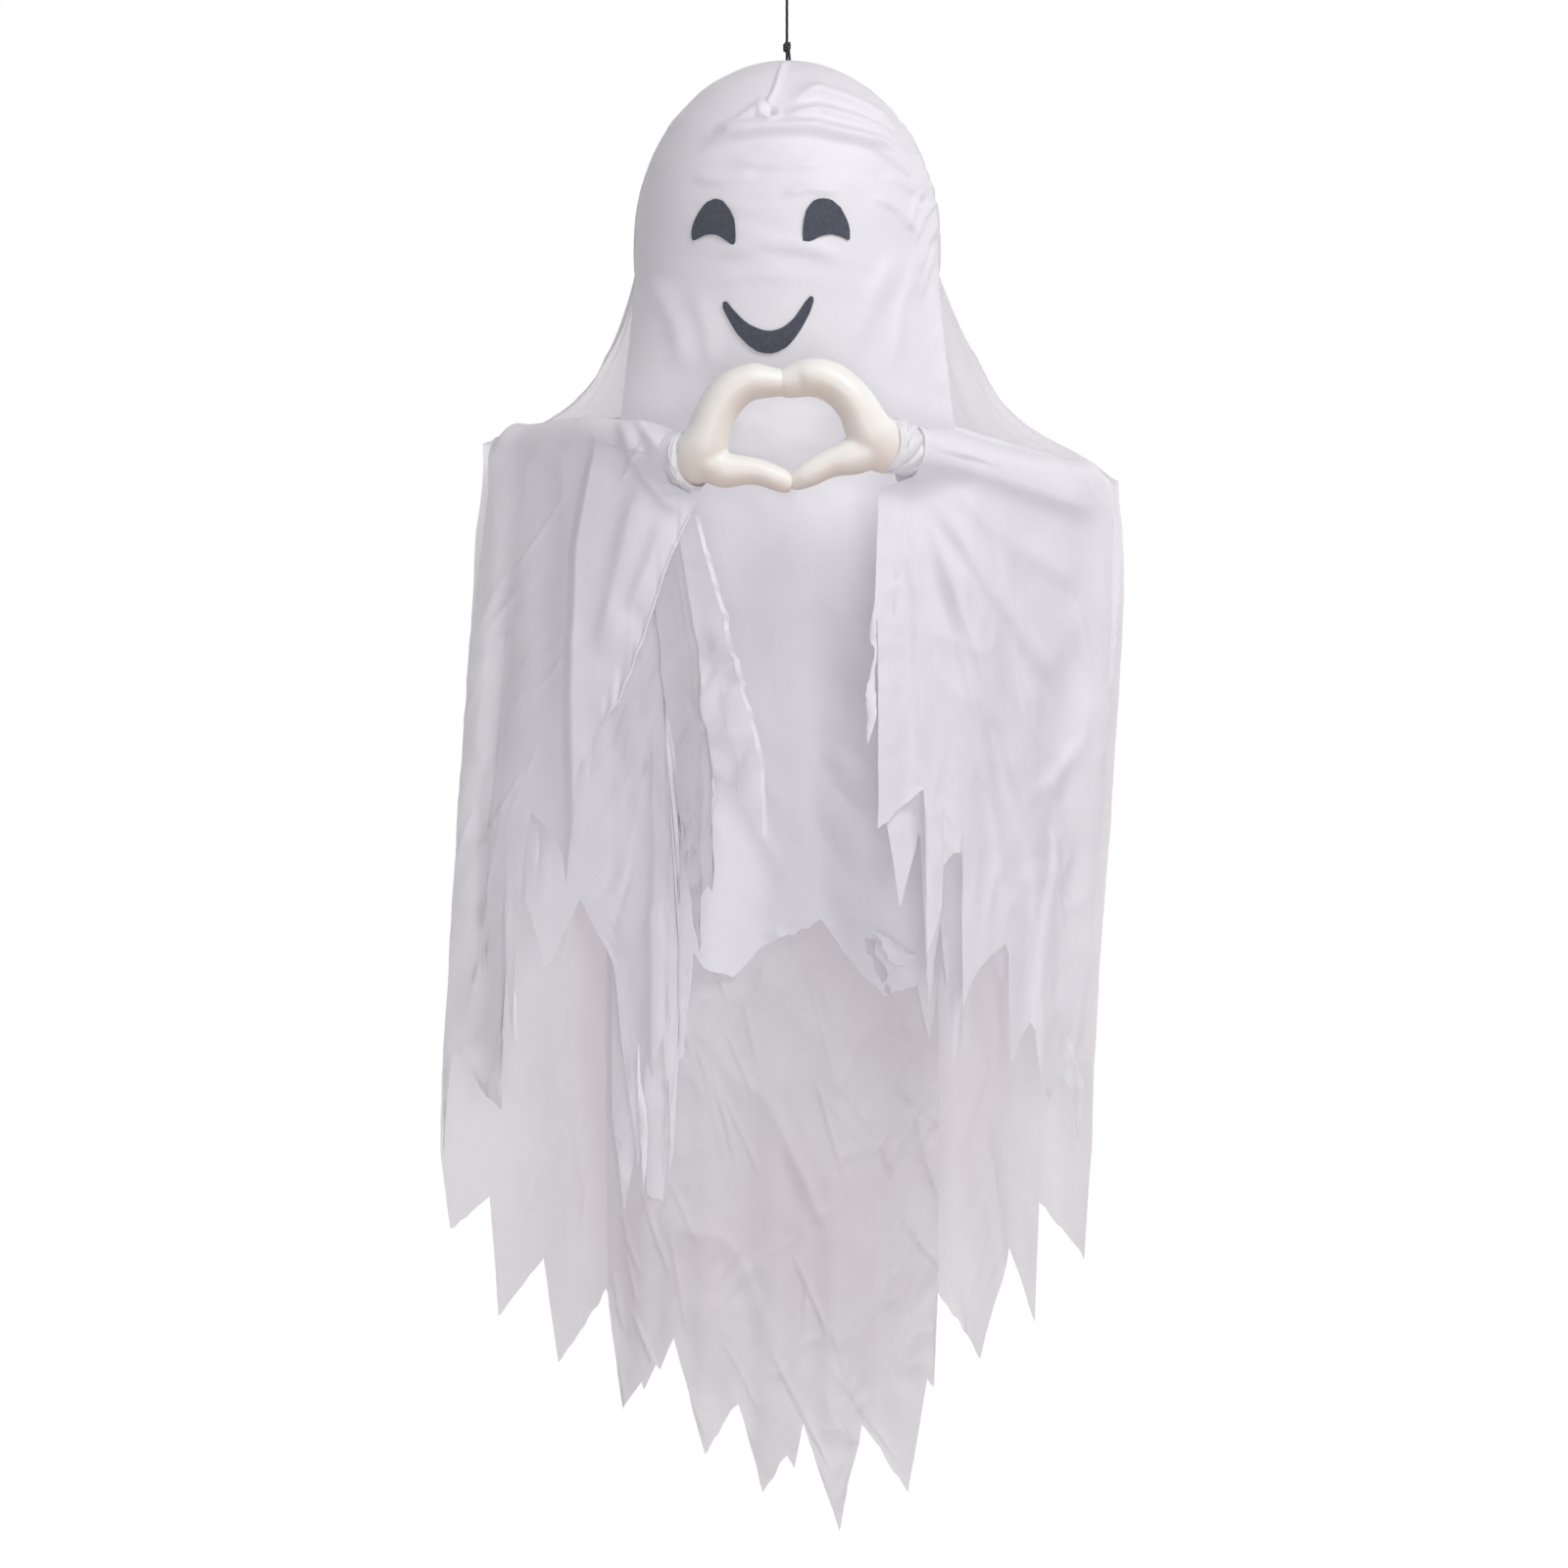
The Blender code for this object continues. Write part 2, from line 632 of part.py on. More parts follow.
def cape_point(share, down):
    """The back of the hood, over the shoulders to the elbows, and down to the hem.

    share runs from -1 at the left front edge, round the back, to 1 at the right.
    """
    half_seam = SEAM_GAP / HEAD_WIDTH
    angle = pi - share * (pi - FACE_SEAM - 2 * half_seam)
    if down < HOOD_SHARE:
        latitude = mixed(crown_latitude(), CAPE_SEWN, down / HOOD_SHARE)
        return on_head(angle, latitude)
    side = -1 if share < 0 else 1
    arm = LEFT_ARM if side < 0 else RIGHT_ARM
    rise = LEFT_SHOULDER_RISE if side < 0 else RIGHT_SHOULDER_RISE
    fullness = LEFT_SHOULDER_FULLNESS if side < 0 else RIGHT_SHOULDER_FULLNESS
    out = abs(share)
    elbow = Vector(arm[2])
    clear = ARM_D / 2 + SLEEVE_GAP
    neck_ring = on_head(angle, CAPE_SEWN)
    arm_ring = Vector(
        (
            (elbow.x + side * clear) * out,
            mixed(SHOULDER_BACK, elbow.y + clear + CAPE_BEHIND_ELBOW, out**1.6),
            NECK + mixed(-SHOULDER_DROP, elbow.z + clear, out * out),
        )
    )
    if down < SHOULDER_SHARE:
        t = (down - HOOD_SHARE) / (SHOULDER_SHARE - HOOD_SHARE)
        drop = (neck_ring.z - arm_ring.z) * 0.7
        handles = (
            neck_ring,
            neck_ring - Vector((-side * fullness * out, 0, drop)),
            arm_ring - Vector((side * SHOULDER_SPREAD * out * out, 0, -rise * out)),
            arm_ring,
        )
        weights = ((1 - t) ** 3, 3 * t * (1 - t) ** 2, 3 * t * t * (1 - t), t**3)
        return sum((h * w for h, w in zip(handles, weights)), Vector())
    t = (down - SHOULDER_SHARE) / (1 - SHOULDER_SHARE)
    hem = NECK - read_off(CAPE_HEM, share) * MM
    z = mixed(arm_ring.z, hem, t**1.15)
    below = (arm_ring.z - z) / (2 * FALL)
    foot = side * out * (LEFT_CAPE_FOOT if side < 0 else RIGHT_CAPE_FOOT)
    folds = CAPE_FOLD * eased(below * 1.3) * (1 - out**6)
    wave = sin(17 * share + 1.2 * below) + 0.5 * sin(31 * share - 2 * below + 2)
    return Vector(
        (
            mixed(arm_ring.x + side * SWING * out * eased(t * 8), foot, eased(below)),
            mixed(arm_ring.y, mixed(CAPE_BACK, CAPE_EDGE_BACK, out**2), eased(1.5 * below))
            + folds * wave,
            z,
        )
    )


class Sleeve:
    """A wide sleeve laid over a forearm, with a front and a back fall."""

    def __init__(self, side, arm, lean, front_hem, back_hem):
        self.side, self.lean = side, lean
        self.front_hem, self.back_hem = front_hem, back_hem
        wrist = arm.fore[-1]
        along = (wrist - arm.fore[-2]).normalized()
        end = wrist - along * (CUFF_LENGTH * (1 - CUFF_AHEAD) + CUFF_TO_SLEEVE)
        start = arm.elbow + arm.forward * SLEEVE_FROM_ELBOW
        self.path = [start, *arm.fore[:-1], end]
        self.reach = [0.0]
        for a, b in zip(self.path, self.path[1:]):
            self.reach.append(self.reach[-1] + (b - a).length)
        self.length = front_hem[-1][0]

    def centre(self, along):
        """The arm's middle at a distance along the sleeve, and the way outward from it."""
        at = along / self.length * self.reach[-1]
        k = min(max(bisect_right(self.reach, at) - 1, 0), len(self.path) - 2)
        t = (at - self.reach[k]) / (self.reach[k + 1] - self.reach[k])
        here = self.path[k].lerp(self.path[k + 1], t)
        before = self.path[max(k - 1, 0)]
        after = self.path[min(k + 2, len(self.path) - 1)]
        run = (self.path[k + 1] - self.path[k]).lerp(after - before, 0.5)
        flat = hypot(run.x, run.y)
        return here, Vector((run.y / flat, -run.x / flat, 0)) * -self.side

    def point(self, along, down):
        """down runs from the back hem over the arm to the front hem."""
        here, outward = self.centre(along)
        share = along / self.length
        clear = ARM_D / 2 + SLEEVE_GAP + ELBOW_EASE * (1 - eased(6 * share))
        over = 2 * down - 1
        front = over > 0
        amount = abs(over) * (1 if front else mixed(0.12, 1, eased(3 * share)))
        if amount < TURN_SHARE:
            a = pi / 2 * amount / TURN_SHARE
            return here + outward * clear * sin(a) * (1 if front else -1) + Vector(
                (0, 0, clear * cos(a))
            )
        hem = NECK - read_off(self.front_hem if front else self.back_hem, along) * MM
        fall = (amount - TURN_SHARE) / (1 - TURN_SHARE)
        under = here.z - clear
        first_row = fall * ROWS_DOWN
        if first_row < 1:
            z = mixed(here.z, under, first_row)
        else:
            z = mixed(under, hem, (first_row - 1) / (ROWS_DOWN - 1))
        below = (here.z - z) / FALL
        pinch = eased(5 * share - 3.6) * eased(below * 8)
        folds = SLEEVE_FOLD * eased(below * 1.5)
        wave = sin(0.085 * along + 2 * below) + 0.5 * sin(0.17 * along + 1)
        lean_elbow, lean_wrist, lean_back = self.lean
        if front:
            away = clear * (1 - 0.85 * pinch) + folds * wave + SWING * eased(below)
            lean = mixed(lean_elbow, lean_wrist, eased(1.5 * share))
            lean *= eased((under - z) / FALL * mixed(0.6, 5, share))
            place = here + outward * away
            return Vector((place.x - self.side * lean, place.y, z))
        away = clear * (1 - 0.7 * pinch) - folds * 0.5 * wave
        away = mixed(away, SLEEVE_BACK_AWAY, 0.5 * eased(below)) if share < 0.7 else away
        shift = -self.side * lean_back * eased(3 * share - 2) * eased(1.2 * below)
        back = here - outward * away
        return Vector((back.x + shift, back.y, z))


def sleeve(name, side, arm, lean, front_hem, back_hem, finish):
    made = Sleeve(side, arm, lean, front_hem, back_hem)
    cloth(name, front_hem, SLEEVE_GRID, made.point, finish)


def cuff(name, arm, finish):
    """Cloth gathered to a ring round the wrist, flaring back over the sleeve's end."""
    wrist = arm.fore[-1]
    along = (wrist - arm.fore[-2]).normalized()
    side = along.cross(Vector((0, 0, 1))).normalized()
    up = side.cross(along)
    bm = bmesh.new()
    turns, rings = 16, 3
    inner = ARM_D / 2 + CUFF_GAP

    def skin(extra):
        rows = []
        for k in range(turns):
            a = 2 * pi * k / turns
            gather = CUFF_GATHER * (1 if k % 2 else -1)
            row = []
            for m in range(rings + 1):
                back = m / rings
                r = inner + CUFF_FLARE * back * back + gather * back + extra
                centre = wrist - along * (CUFF_LENGTH * (back - CUFF_AHEAD))
                row.append(bm.verts.new(centre + side * r * cos(a) + up * r * sin(a)))
            rows.append(row)
        return rows

    low, high = skin(0), skin(CLOTH)
    grid_faces(bm, low, closed=True)
    grid_faces(bm, high, closed=True)
    for end in (0, -1):
        grid_faces(bm, [[a[end], b[end]] for a, b in zip(low, high)], closed=True)
    object_from(name, bm, finish)


def patch(name, edges, width, centre, finish):
    """A thin patch on the face: edges(t) gives its lower and upper height at t across."""
    bm = bmesh.new()
    steps, rows = 12, 3
    cover = CLOTH / 2 + FIT + PATCH / 2
    grid = []
    for k in range(steps + 1):
        t = 2 * k / steps - 1
        low, high = edges(t)
        row = []
        for m in range(rows + 1):
            x, z = centre + t * width / 2, mixed(low, high, m / rows)
            row.append(bm.verts.new((x, gown_depth(x, z) - cover, z)))
        grid.append(row)
    grid_faces(bm, grid)
    made = object_from(name, bm, finish)
    wall = made.modifiers.new("Thickness", "SOLIDIFY")
    wall.thickness = PATCH
    wall.offset = 0


def face(finish):
    """Two bean-shaped eyes with notched lower edges, and a crescent smile."""
    notch = CROWN - EYE_BELOW_CROWN
    outer, inner = EYE_CORNER_DROP

    def eye_edges(side):
        def edges(t):
            inward = (1 - t * side) / 2  # 0 at the outer corner and 1 at the inner
            corner = mixed(outer, inner, inward)
            low = notch - corner * abs(t) ** 1.6
            dome = sqrt(max(0.0, 1 - abs(t) ** 2.3))
            high = low + BLUNT + (EYE_HEIGHT - inner + corner * abs(t) ** 1.6) * dome
            return low, high

        return edges

    for side, name in ((-1, "left_eye"), (1, "right_eye")):
        centre = -FACE_TURN + side * EYE_APART / 2
        patch(name, eye_edges(side), EYE_WIDTH, centre, finish)
    tips = CROWN - MOUTH_BELOW_CROWN
    upper, lower = MOUTH_SAG

    def smile(t):
        bow = 1 - t * t
        return tips - MOUTH_TIP - (lower - MOUTH_TIP) * bow, tips - upper * bow**0.9

    patch("mouth", smile, MOUTH_WIDTH, -FACE_TURN, finish)


def build():
    for old in list(bpy.data.objects):
        bpy.data.objects.remove(old)
    white = material("White polyester cloth", (0.86, 0.86, 0.9), 0.75)
    dark = material("Dark grey felt", (0.07, 0.075, 0.09), 0.9)
    vinyl = material("Cream moulded vinyl", (0.9, 0.87, 0.82), 0.5)
    foam = material("White foam", (0.88, 0.88, 0.88), 0.9)
    steel = material("Galvanised wire", (0.45, 0.46, 0.48), 0.4, 0.9)
    black = material("Black nylon cord", (0.015, 0.015, 0.017), 0.6)

    hang_cord(black)
    head_form(foam)
    left, right = arms(foam, steel)
    hand(-1, "left_hand", left, LEFT_HEART_BELOW_NECK, vinyl)
    hand(1, "right_hand", right, RIGHT_HEART_BELOW_NECK, vinyl)
    cloth("front_gown", GOWN_HEM, GOWN_GRID, gown_point, white)
    cloth("under_panel", UNDER_HEM, UNDER_GRID, under_point, white)
    cloth("hooded_cape", CAPE_HEM, CAPE_GRID, cape_point, white)
    sleeve("left_sleeve", -1, left, LEFT_LEAN, LEFT_FRONT_HEM, LEFT_BACK_HEM, white)
    sleeve("right_sleeve", 1, right, RIGHT_LEAN, RIGHT_FRONT_HEM, RIGHT_BACK_HEM, white)
    cuff("left_cuff", left, white)
    cuff("right_cuff", right, white)
    face(dark)


build()
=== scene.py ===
from math import pi, radians

import bpy
import numpy as np
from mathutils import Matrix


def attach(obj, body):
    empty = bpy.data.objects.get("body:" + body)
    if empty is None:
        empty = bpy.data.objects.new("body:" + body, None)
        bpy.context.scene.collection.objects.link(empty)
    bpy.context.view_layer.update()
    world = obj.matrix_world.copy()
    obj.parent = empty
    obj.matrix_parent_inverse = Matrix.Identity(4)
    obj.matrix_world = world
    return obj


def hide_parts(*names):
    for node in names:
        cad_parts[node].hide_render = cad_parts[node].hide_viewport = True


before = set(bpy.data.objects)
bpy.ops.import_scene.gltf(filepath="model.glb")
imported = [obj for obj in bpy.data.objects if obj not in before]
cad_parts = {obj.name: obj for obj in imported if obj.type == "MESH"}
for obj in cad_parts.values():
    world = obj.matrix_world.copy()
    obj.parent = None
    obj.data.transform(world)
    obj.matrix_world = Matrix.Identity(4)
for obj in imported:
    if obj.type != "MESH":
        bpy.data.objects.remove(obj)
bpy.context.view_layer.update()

MM = 0.001

# The view. A camera level with the ghost's middle and 3 m in front of it, which sees the
# ghost from the knot of its cord to its lowest hem tip.
CROWN = -0.1163  # height of the top of the foam head
VIEW_BACK = 3.0
VIEW_BELOW_CROWN = 0.591
view = bpy.data.cameras.new("front_view")
view.sensor_width = 36
view.lens = 83.92
view.clip_end = 20
camera = bpy.data.objects.new("front_view", view)
camera.location = (-0.0024, -VIEW_BACK, CROWN - VIEW_BELOW_CROWN)
camera.rotation_euler = (pi / 2, 0, 0)
bpy.context.scene.collection.objects.link(camera)
bpy.context.scene.camera = camera


# The hanging cord. Thin black nylon, tied to a loop at its top and wound into a small
# knot above the head, from which two strands go down through the crown.
CORD_D = 2.4 * MM
CORD_TOP = -0.0420
LOOP_LENGTH = 30 * MM
LOOP_WIDTH = 12 * MM
KNOT_D = 7 * MM
KNOT_LENGTH = 9 * MM
KNOT_ABOVE_HEAD = 14 * MM
SECOND_STRAND_D = 1.9 * MM
STRANDS = 3  # bulges round the cord, which turn once in its lay
LAY = 9 * MM
TIGHT_LAY = 8 * MM  # where the cord is wound, and on the second strand


def unit(v):
    """Each vector of an array divided by its length."""
    return v / np.maximum(np.linalg.norm(v, axis=-1, keepdims=True), 1e-12)


def distances(path):
    """How far along the path each of its points is."""
    return np.concatenate([[0], np.cumsum(np.linalg.norm(np.diff(path, axis=0), axis=1))])


def mesh_piece(name, grid, finish, ring=False, caps=False, uv=None):
    """A mesh of one quad between each four neighbours in a grid of points.

    ring joins the last line of points to the first, and caps closes both ends with a
    face. The faces are turned to look away from the upright line through the ghost's
    middle or, on a closed piece, away from its inside.
    """
    lines, count = grid.shape[:2]
    number = np.arange(lines * count).reshape(lines, count)
    if ring:
        number = np.vstack([number, number[:1]])
    quads = np.stack(
        [number[:-1, :-1], number[1:, :-1], number[1:, 1:], number[:-1, 1:]], -1
    ).reshape(-1, 4)
    points = grid.reshape(-1, 3)
    a, b, c, d = (points[quads[:, k]] for k in range(4))
    turned = np.cross(c - a, d - b)
    middle = (a + b + c + d) / 4
    away = middle - points.mean(axis=0) if ring else middle * (1, 1, 0)
    flip = (turned * away).sum() < 0
    faces = (quads[:, ::-1] if flip else quads).tolist()
    if caps:
        for end, back in ((0, not flip), (count - 1, flip)):
            rim = number[:lines, end]
            faces.append((rim[::-1] if back else rim).tolist())
    mesh = bpy.data.meshes.new(name)
    mesh.from_pydata(points.tolist(), [], faces)
    if uv is not None:
        layer = mesh.uv_layers.new(name="cut")
        corner = np.empty(len(mesh.loops), np.int32)
        mesh.loops.foreach_get("vertex_index", corner)
        layer.data.foreach_set("uv", uv.reshape(-1, 2)[corner].ravel())
    mesh.shade_smooth()
    mesh.materials.append(finish)
    piece = bpy.data.objects.new(name, mesh)
    bpy.context.scene.collection.objects.link(piece)
    return piece


def rope(path, radius, turns, upright, strands=0, lay=1.0):
    """Rings of points along a path: centre + across r cos a + over r sin a.

    strands is the number of bulges round the rope, which turn once in each lay.
    """
    path = np.asarray(path, float)
    along = unit(np.gradient(path, axis=0))
    across = unit(np.cross(along, np.asarray(upright, float)))
    over = np.cross(across, along)
    run = distances(path)
    a = np.linspace(0, 2 * pi, turns, endpoint=False)[:, None]
    r = radius * (1 + 0.07 * np.cos(strands * a - 2 * pi * run / lay) * bool(strands))
    return (
        path[None]
        + across[None] * (r * np.cos(a))[..., None]
        + over[None] * (r * np.sin(a))[..., None]
    )


def shader_of(name):
    """A new material, its node tree's nodes and links, and its Principled shader."""
    made = bpy.data.materials.new(name)
    made.use_nodes = True
    tree = made.node_tree
    return made, tree.nodes, tree.links, tree.nodes["Principled BSDF"]


def texture(nodes, links, kind, coordinates, **settings):
    """A texture read at these coordinates, with its settings."""
    node = nodes.new("ShaderNodeTex" + kind)
    for setting, value in settings.items():
        node.inputs[setting].default_value = value
    links.new(coordinates, node.inputs["Vector"])
    return node


def mottled(nodes, links, coordinates, scale, low, high):
    """A colour that wanders between two values in soft patches of 1 / scale metres."""
    noise = texture(nodes, links, "Noise", coordinates, Scale=scale, Detail=3.0)
    ramp = nodes.new("ShaderNodeValToRGB")
    ramp.color_ramp.elements[0].position = 0.32
    ramp.color_ramp.elements[1].position = 0.68
    ramp.color_ramp.elements[0].color = (*low, 1)
    ramp.color_ramp.elements[1].color = (*high, 1)
    links.new(noise.outputs["Fac"], ramp.inputs["Fac"])
    return noise, ramp


def mottled_finish(name, scale, low, high, roughness):
    """A material of a wandering colour, and the parts that more is joined to."""
    made, nodes, links, shader = shader_of(name)
    place = nodes.new("ShaderNodeTexCoord").outputs["Object"]
    noise, shade = mottled(nodes, links, place, scale, low, high)
    links.new(shade.outputs["Color"], shader.inputs["Base Color"])
    shader.inputs["Roughness"].default_value = roughness
    return made, nodes, links, shader, place, noise


def bumped(nodes, links, height, strength, distance, before=None):
    """A bump of a height map, over the one before it."""
    bump = nodes.new("ShaderNodeBump")
    bump.inputs["Strength"].default_value = strength
    bump.inputs["Distance"].default_value = distance
    links.new(height, bump.inputs["Height"])
    if before is not None:
        links.new(before.outputs["Normal"], bump.inputs["Normal"])
    return bump


nylon, nodes, links, shader, place, _ = mottled_finish(
    "braided_nylon", 900, (0.008, 0.008, 0.010), (0.03, 0.03, 0.034), 0.55
)
braid = texture(nodes, links, "Wave", place, Scale=420, Distortion=1.5)
braid.bands_direction = "DIAGONAL"
bump = bumped(nodes, links, braid.outputs["Fac"], 0.6, 0.0002)
links.new(bump.outputs["Normal"], shader.inputs["Normal"])

cord_path = np.zeros((25, 3))
cord_path[:, 2] = np.linspace(CROWN + 0.3 * MM, CORD_TOP, 25)
cord = mesh_piece(
    "cord",
    rope(cord_path, CORD_D / 2, 12, (0, 1, 0), STRANDS, LAY),
    nylon,
    ring=True,
    caps=True,
)
second_path = np.zeros((12, 3))
second_path[:, 2] = np.linspace(CROWN - 1.2 * MM, CROWN + KNOT_ABOVE_HEAD, 12)
second_path[:, 0] = 2.3 * MM * np.sin(np.linspace(0.25, 1, 12) * pi) ** 0.5
second_path[:, 1] = -0.6 * MM
second_strand = mesh_piece(
    "second_strand",
    rope(second_path, SECOND_STRAND_D / 2, 10, (0, 1, 0), STRANDS, TIGHT_LAY),
    nylon,
    ring=True,
    caps=True,
)


def wound(turns, middle, lean):
    """Points of a coil as wide as the knot in its middle: (r cos a, r sin a, rise).

    r shrinks by 0.3 |2t - 1|^3 to both ends, and the turns lean by lean r cos a.
    """
    t = np.linspace(0, 1, int(turns * 22))
    a = 2 * pi * turns * t
    swell = 1 - 0.3 * np.abs(2 * t - 1) ** 3
    r = (KNOT_D - CORD_D) / 2 * swell
    rise = (t - 0.5) * (KNOT_LENGTH - CORD_D)
    return np.stack(
        [r * np.cos(a), r * np.sin(a), middle + rise + lean * r * np.cos(a)], -1
    )


knots = []
loop_knot_middle = -(LOOP_LENGTH + CORD_D + 0.3 * MM + KNOT_LENGTH / 2)
for name, turns, middle, lean in (
    ("crown_knot", 3.4, CROWN + KNOT_ABOVE_HEAD, 0.25),
    ("loop_knot_coils", 3.6, loop_knot_middle, -0.2),
):
    coils = rope(wound(turns, middle, lean), CORD_D / 2, 10, (0, 0, 1), STRANDS, TIGHT_LAY)
    knots.append(mesh_piece(name, coils, nylon, ring=True, caps=True))

bend = (LOOP_WIDTH + CORD_D) / 2
turn = np.linspace(0, 2 * pi, 72, endpoint=False)
high, low = CORD_D / 2 - bend, bend - CORD_D / 2 - LOOP_LENGTH
narrowing = 0.55 + 0.45 * np.clip((np.sin(turn) + 1), 0, 1)
loop_path = np.stack(
    [
        bend * np.cos(turn) * narrowing,
        np.zeros(72),
        np.where(np.sin(turn) >= 0, high, low) + bend * np.sin(turn),
    ],
    -1,
)
loop_rings = np.concatenate([loop_path, loop_path[:2]])
loop_skin = rope(loop_rings, CORD_D / 2, 12, (0, 1, 0), STRANDS, LAY)
loop_skin[:, -2:] = loop_skin[:, :2]
loop = mesh_piece("loop", loop_skin[:, :73], nylon, ring=True)
for piece in (cord, second_strand, loop, *knots):
    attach(piece, "root")
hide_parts("hanging_cord")
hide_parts("hanging_loop")
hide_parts("cord_knot")
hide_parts("loop_knot")


# The head and the arms. The egg and the arm tubes are white foam with a fine closed
# grain, and a galvanised wire runs from hand to hand through them.
foam, nodes, links, shader, place, _ = mottled_finish(
    "white_foam", 40, (0.84, 0.84, 0.86), (0.9, 0.9, 0.925), 0.9
)
beads = texture(nodes, links, "Voronoi", place, Scale=260)
bump = bumped(nodes, links, beads.outputs["Distance"], 0.4, 0.0008)
links.new(bump.outputs["Normal"], shader.inputs["Normal"])

steel, nodes, links, shader, _, spangle = mottled_finish(
    "galvanised_wire", 160, (0.38, 0.39, 0.41), (0.55, 0.56, 0.58), 0.4
)
bump = bumped(nodes, links, spangle.outputs["Fac"], 0.3, 0.0004)
links.new(bump.outputs["Normal"], shader.inputs["Normal"])
shader.inputs["Metallic"].default_value = 0.9

for node, finish in (
    ("head_form", foam),
    ("left_upper_arm", foam),
    ("left_forearm", foam),
    ("right_upper_arm", foam),
    ("right_forearm", foam),
    ("arm_wire", steel),
):
    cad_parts[node].data.materials.clear()
    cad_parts[node].data.materials.append(finish)


# The face and the gown. One piece of white polyester is stretched over the front of the
# egg, sewn to the hood at its sides, and falls over the chest to a jagged hem.
HEAD_WIDTH = 245 * MM
HEAD_DEPTH = 212 * MM
HEAD_HEIGHT = 298 * MM
NECK = CROWN - HEAD_HEIGHT
HEAD_MIDDLE = CROWN - HEAD_HEIGHT / 2
COVER = 3.1 * MM  # from the foam to the cloth
CROWN_COVER = 1.4 * MM
CROWN_HOLE_D = 7 * MM
FACE_SEAM = radians(78)
CHEST_ARC = radians(48)
CHEST_FORWARD = 84 * MM
GOWN_HALF_WIDTH = 140 * MM
GOWN_FOLD = 5 * MM
FALL = 300 * MM
TIP_ROWS = 0.2  # share of a sheet's rows between its level ones and the hem
CHEST_LEVEL, SHOULDER_LEVEL = -0.6, -0.43
FACE_SHARE = 0.42  # share of the gown's rows that lie on the face
GOWN_HEM = np.array((
    (-140, 560), (-128, 640), (-114, 565), (-106, 622), (-92, 628), (-86, 520),
    (-76, 512), (-68, 428), (-60, 440), (-38, 446), (-18, 424), (24, 402),
    (50, 440), (72, 462), (98, 455), (108, 500), (120, 440), (140, 520),
), float)


def eased(t):
    """A step from 0 to 1 with level ends."""
    t = np.clip(t, 0, 1)
    return t * t * (3 - 2 * t)


def mixed(a, b, t):
    """a at t = 0, b at t = 1, and evenly between."""
    return a + (b - a) * t


def points_of(x, y, z):
    """Points from their three values, each an array or a number."""
    return np.stack(np.broadcast_arrays(x, y, z), -1)


def seen_place(points):
    """Millimetres across from the middle and below the crown."""
    return points[..., 0] / MM, (CROWN - points[..., 2]) / MM


def bell(t):
    """1 at t = 0, falling off smoothly on both sides."""
    return np.exp(-t * t)


def crumple(x, z, size, seed):
    """Smooth random heights from -1 to 1: a lattice of random numbers, size apart."""
    lattice = np.random.default_rng(seed).uniform(-1, 1, (64, 64))
    u, v = np.broadcast_arrays(x / size, z / size)
    i, j = np.floor(u).astype(int), np.floor(v).astype(int)
    a, b = eased(u - i), eased(v - j)
    near, far = i % 64, (i + 1) % 64
    top, foot = j % 64, (j + 1) % 64
    return mixed(
        mixed(lattice[near, top], lattice[far, top], a),
        mixed(lattice[near, foot], lattice[far, foot], a),
        b,
    )


def fold(x, z, line, width, height, steep=None):
    """A fold along a drawn line: height times a bell of the distance to it over width.

    To the right of the line's own direction, as seen from the front, the width is steep,
    if it is given. The fold fades to nothing at both ends of the line. x is across from
    the middle and z below the crown, both in millimetres.
    """
    line = np.asarray(line, float)
    steps = np.diff(line, axis=0)
    lengths = np.hypot(*steps.T)
    run = np.concatenate([[0], np.cumsum(lengths)])
    nearest = np.full(np.broadcast(x, z).shape, 1e9)
    share, aside = np.zeros_like(nearest), np.zeros_like(nearest)
    for (ax, az), (sx, sz), length, start in zip(line, steps, lengths, run):
        t = np.clip(((x - ax) * sx + (z - az) * sz) / length**2, 0, 1)
        distance = np.hypot(x - ax - t * sx, z - az - t * sz)
        closer = distance < nearest
        nearest = np.where(closer, distance, nearest)
        share = np.where(closer, (start + t * length) / run[-1], share)
        aside = np.where(closer, (z - az) * sx - (x - ax) * sz, aside)
    spread = np.where(aside > 0, steep or width, width)
    return height * bell(nearest / spread) * eased(4 * share) * eased(4 * (1 - share))


def creases(x, z, count, seed, slant, width, height):
    """Fine creases: straight folds of random place, length and lean, slant on average."""
    dice = np.random.default_rng(seed)
    total = 0
    for _ in range(count):
        start_x = mixed(x.min(), x.max(), dice.uniform())
        start_z = mixed(z.min(), z.max(), dice.uniform())
        length, lean = dice.uniform(30, 110), slant + dice.normal() * 0.22
        line = ((start_x, start_z), (start_x + lean * length, start_z + length))
        total = total + fold(x, z, line, width, height * dice.uniform(0.4, 1), width * 0.5)
    return total


def net(x, z, size, seed):
    """A crushed cloth's sharp crests: 1 - 2 |crumple|, stronger in some patches."""
    patches = eased(0.5 + crumple(x, z, 2.2 * size, seed + 500))
    return (1 - 2 * np.abs(crumple(x, z, size, seed))) * patches


def pushed(points, amount):
    """Each point moved along the surface's own normal, away from the ghost's middle.

    Below the level rows, in the hem's tips, it is the normal of the last level row.
    """
    normal = unit(
        np.cross(np.gradient(points, axis=0), np.gradient(points, axis=1))
    )
    away = (normal * points * (1, 1, 0)).sum()
    level = int(points.shape[1] * (1 - TIP_ROWS)) - 2
    normal[:, level:] = normal[:, level - 1 : level]
    return points + normal * (amount * np.sign(away))[..., None]


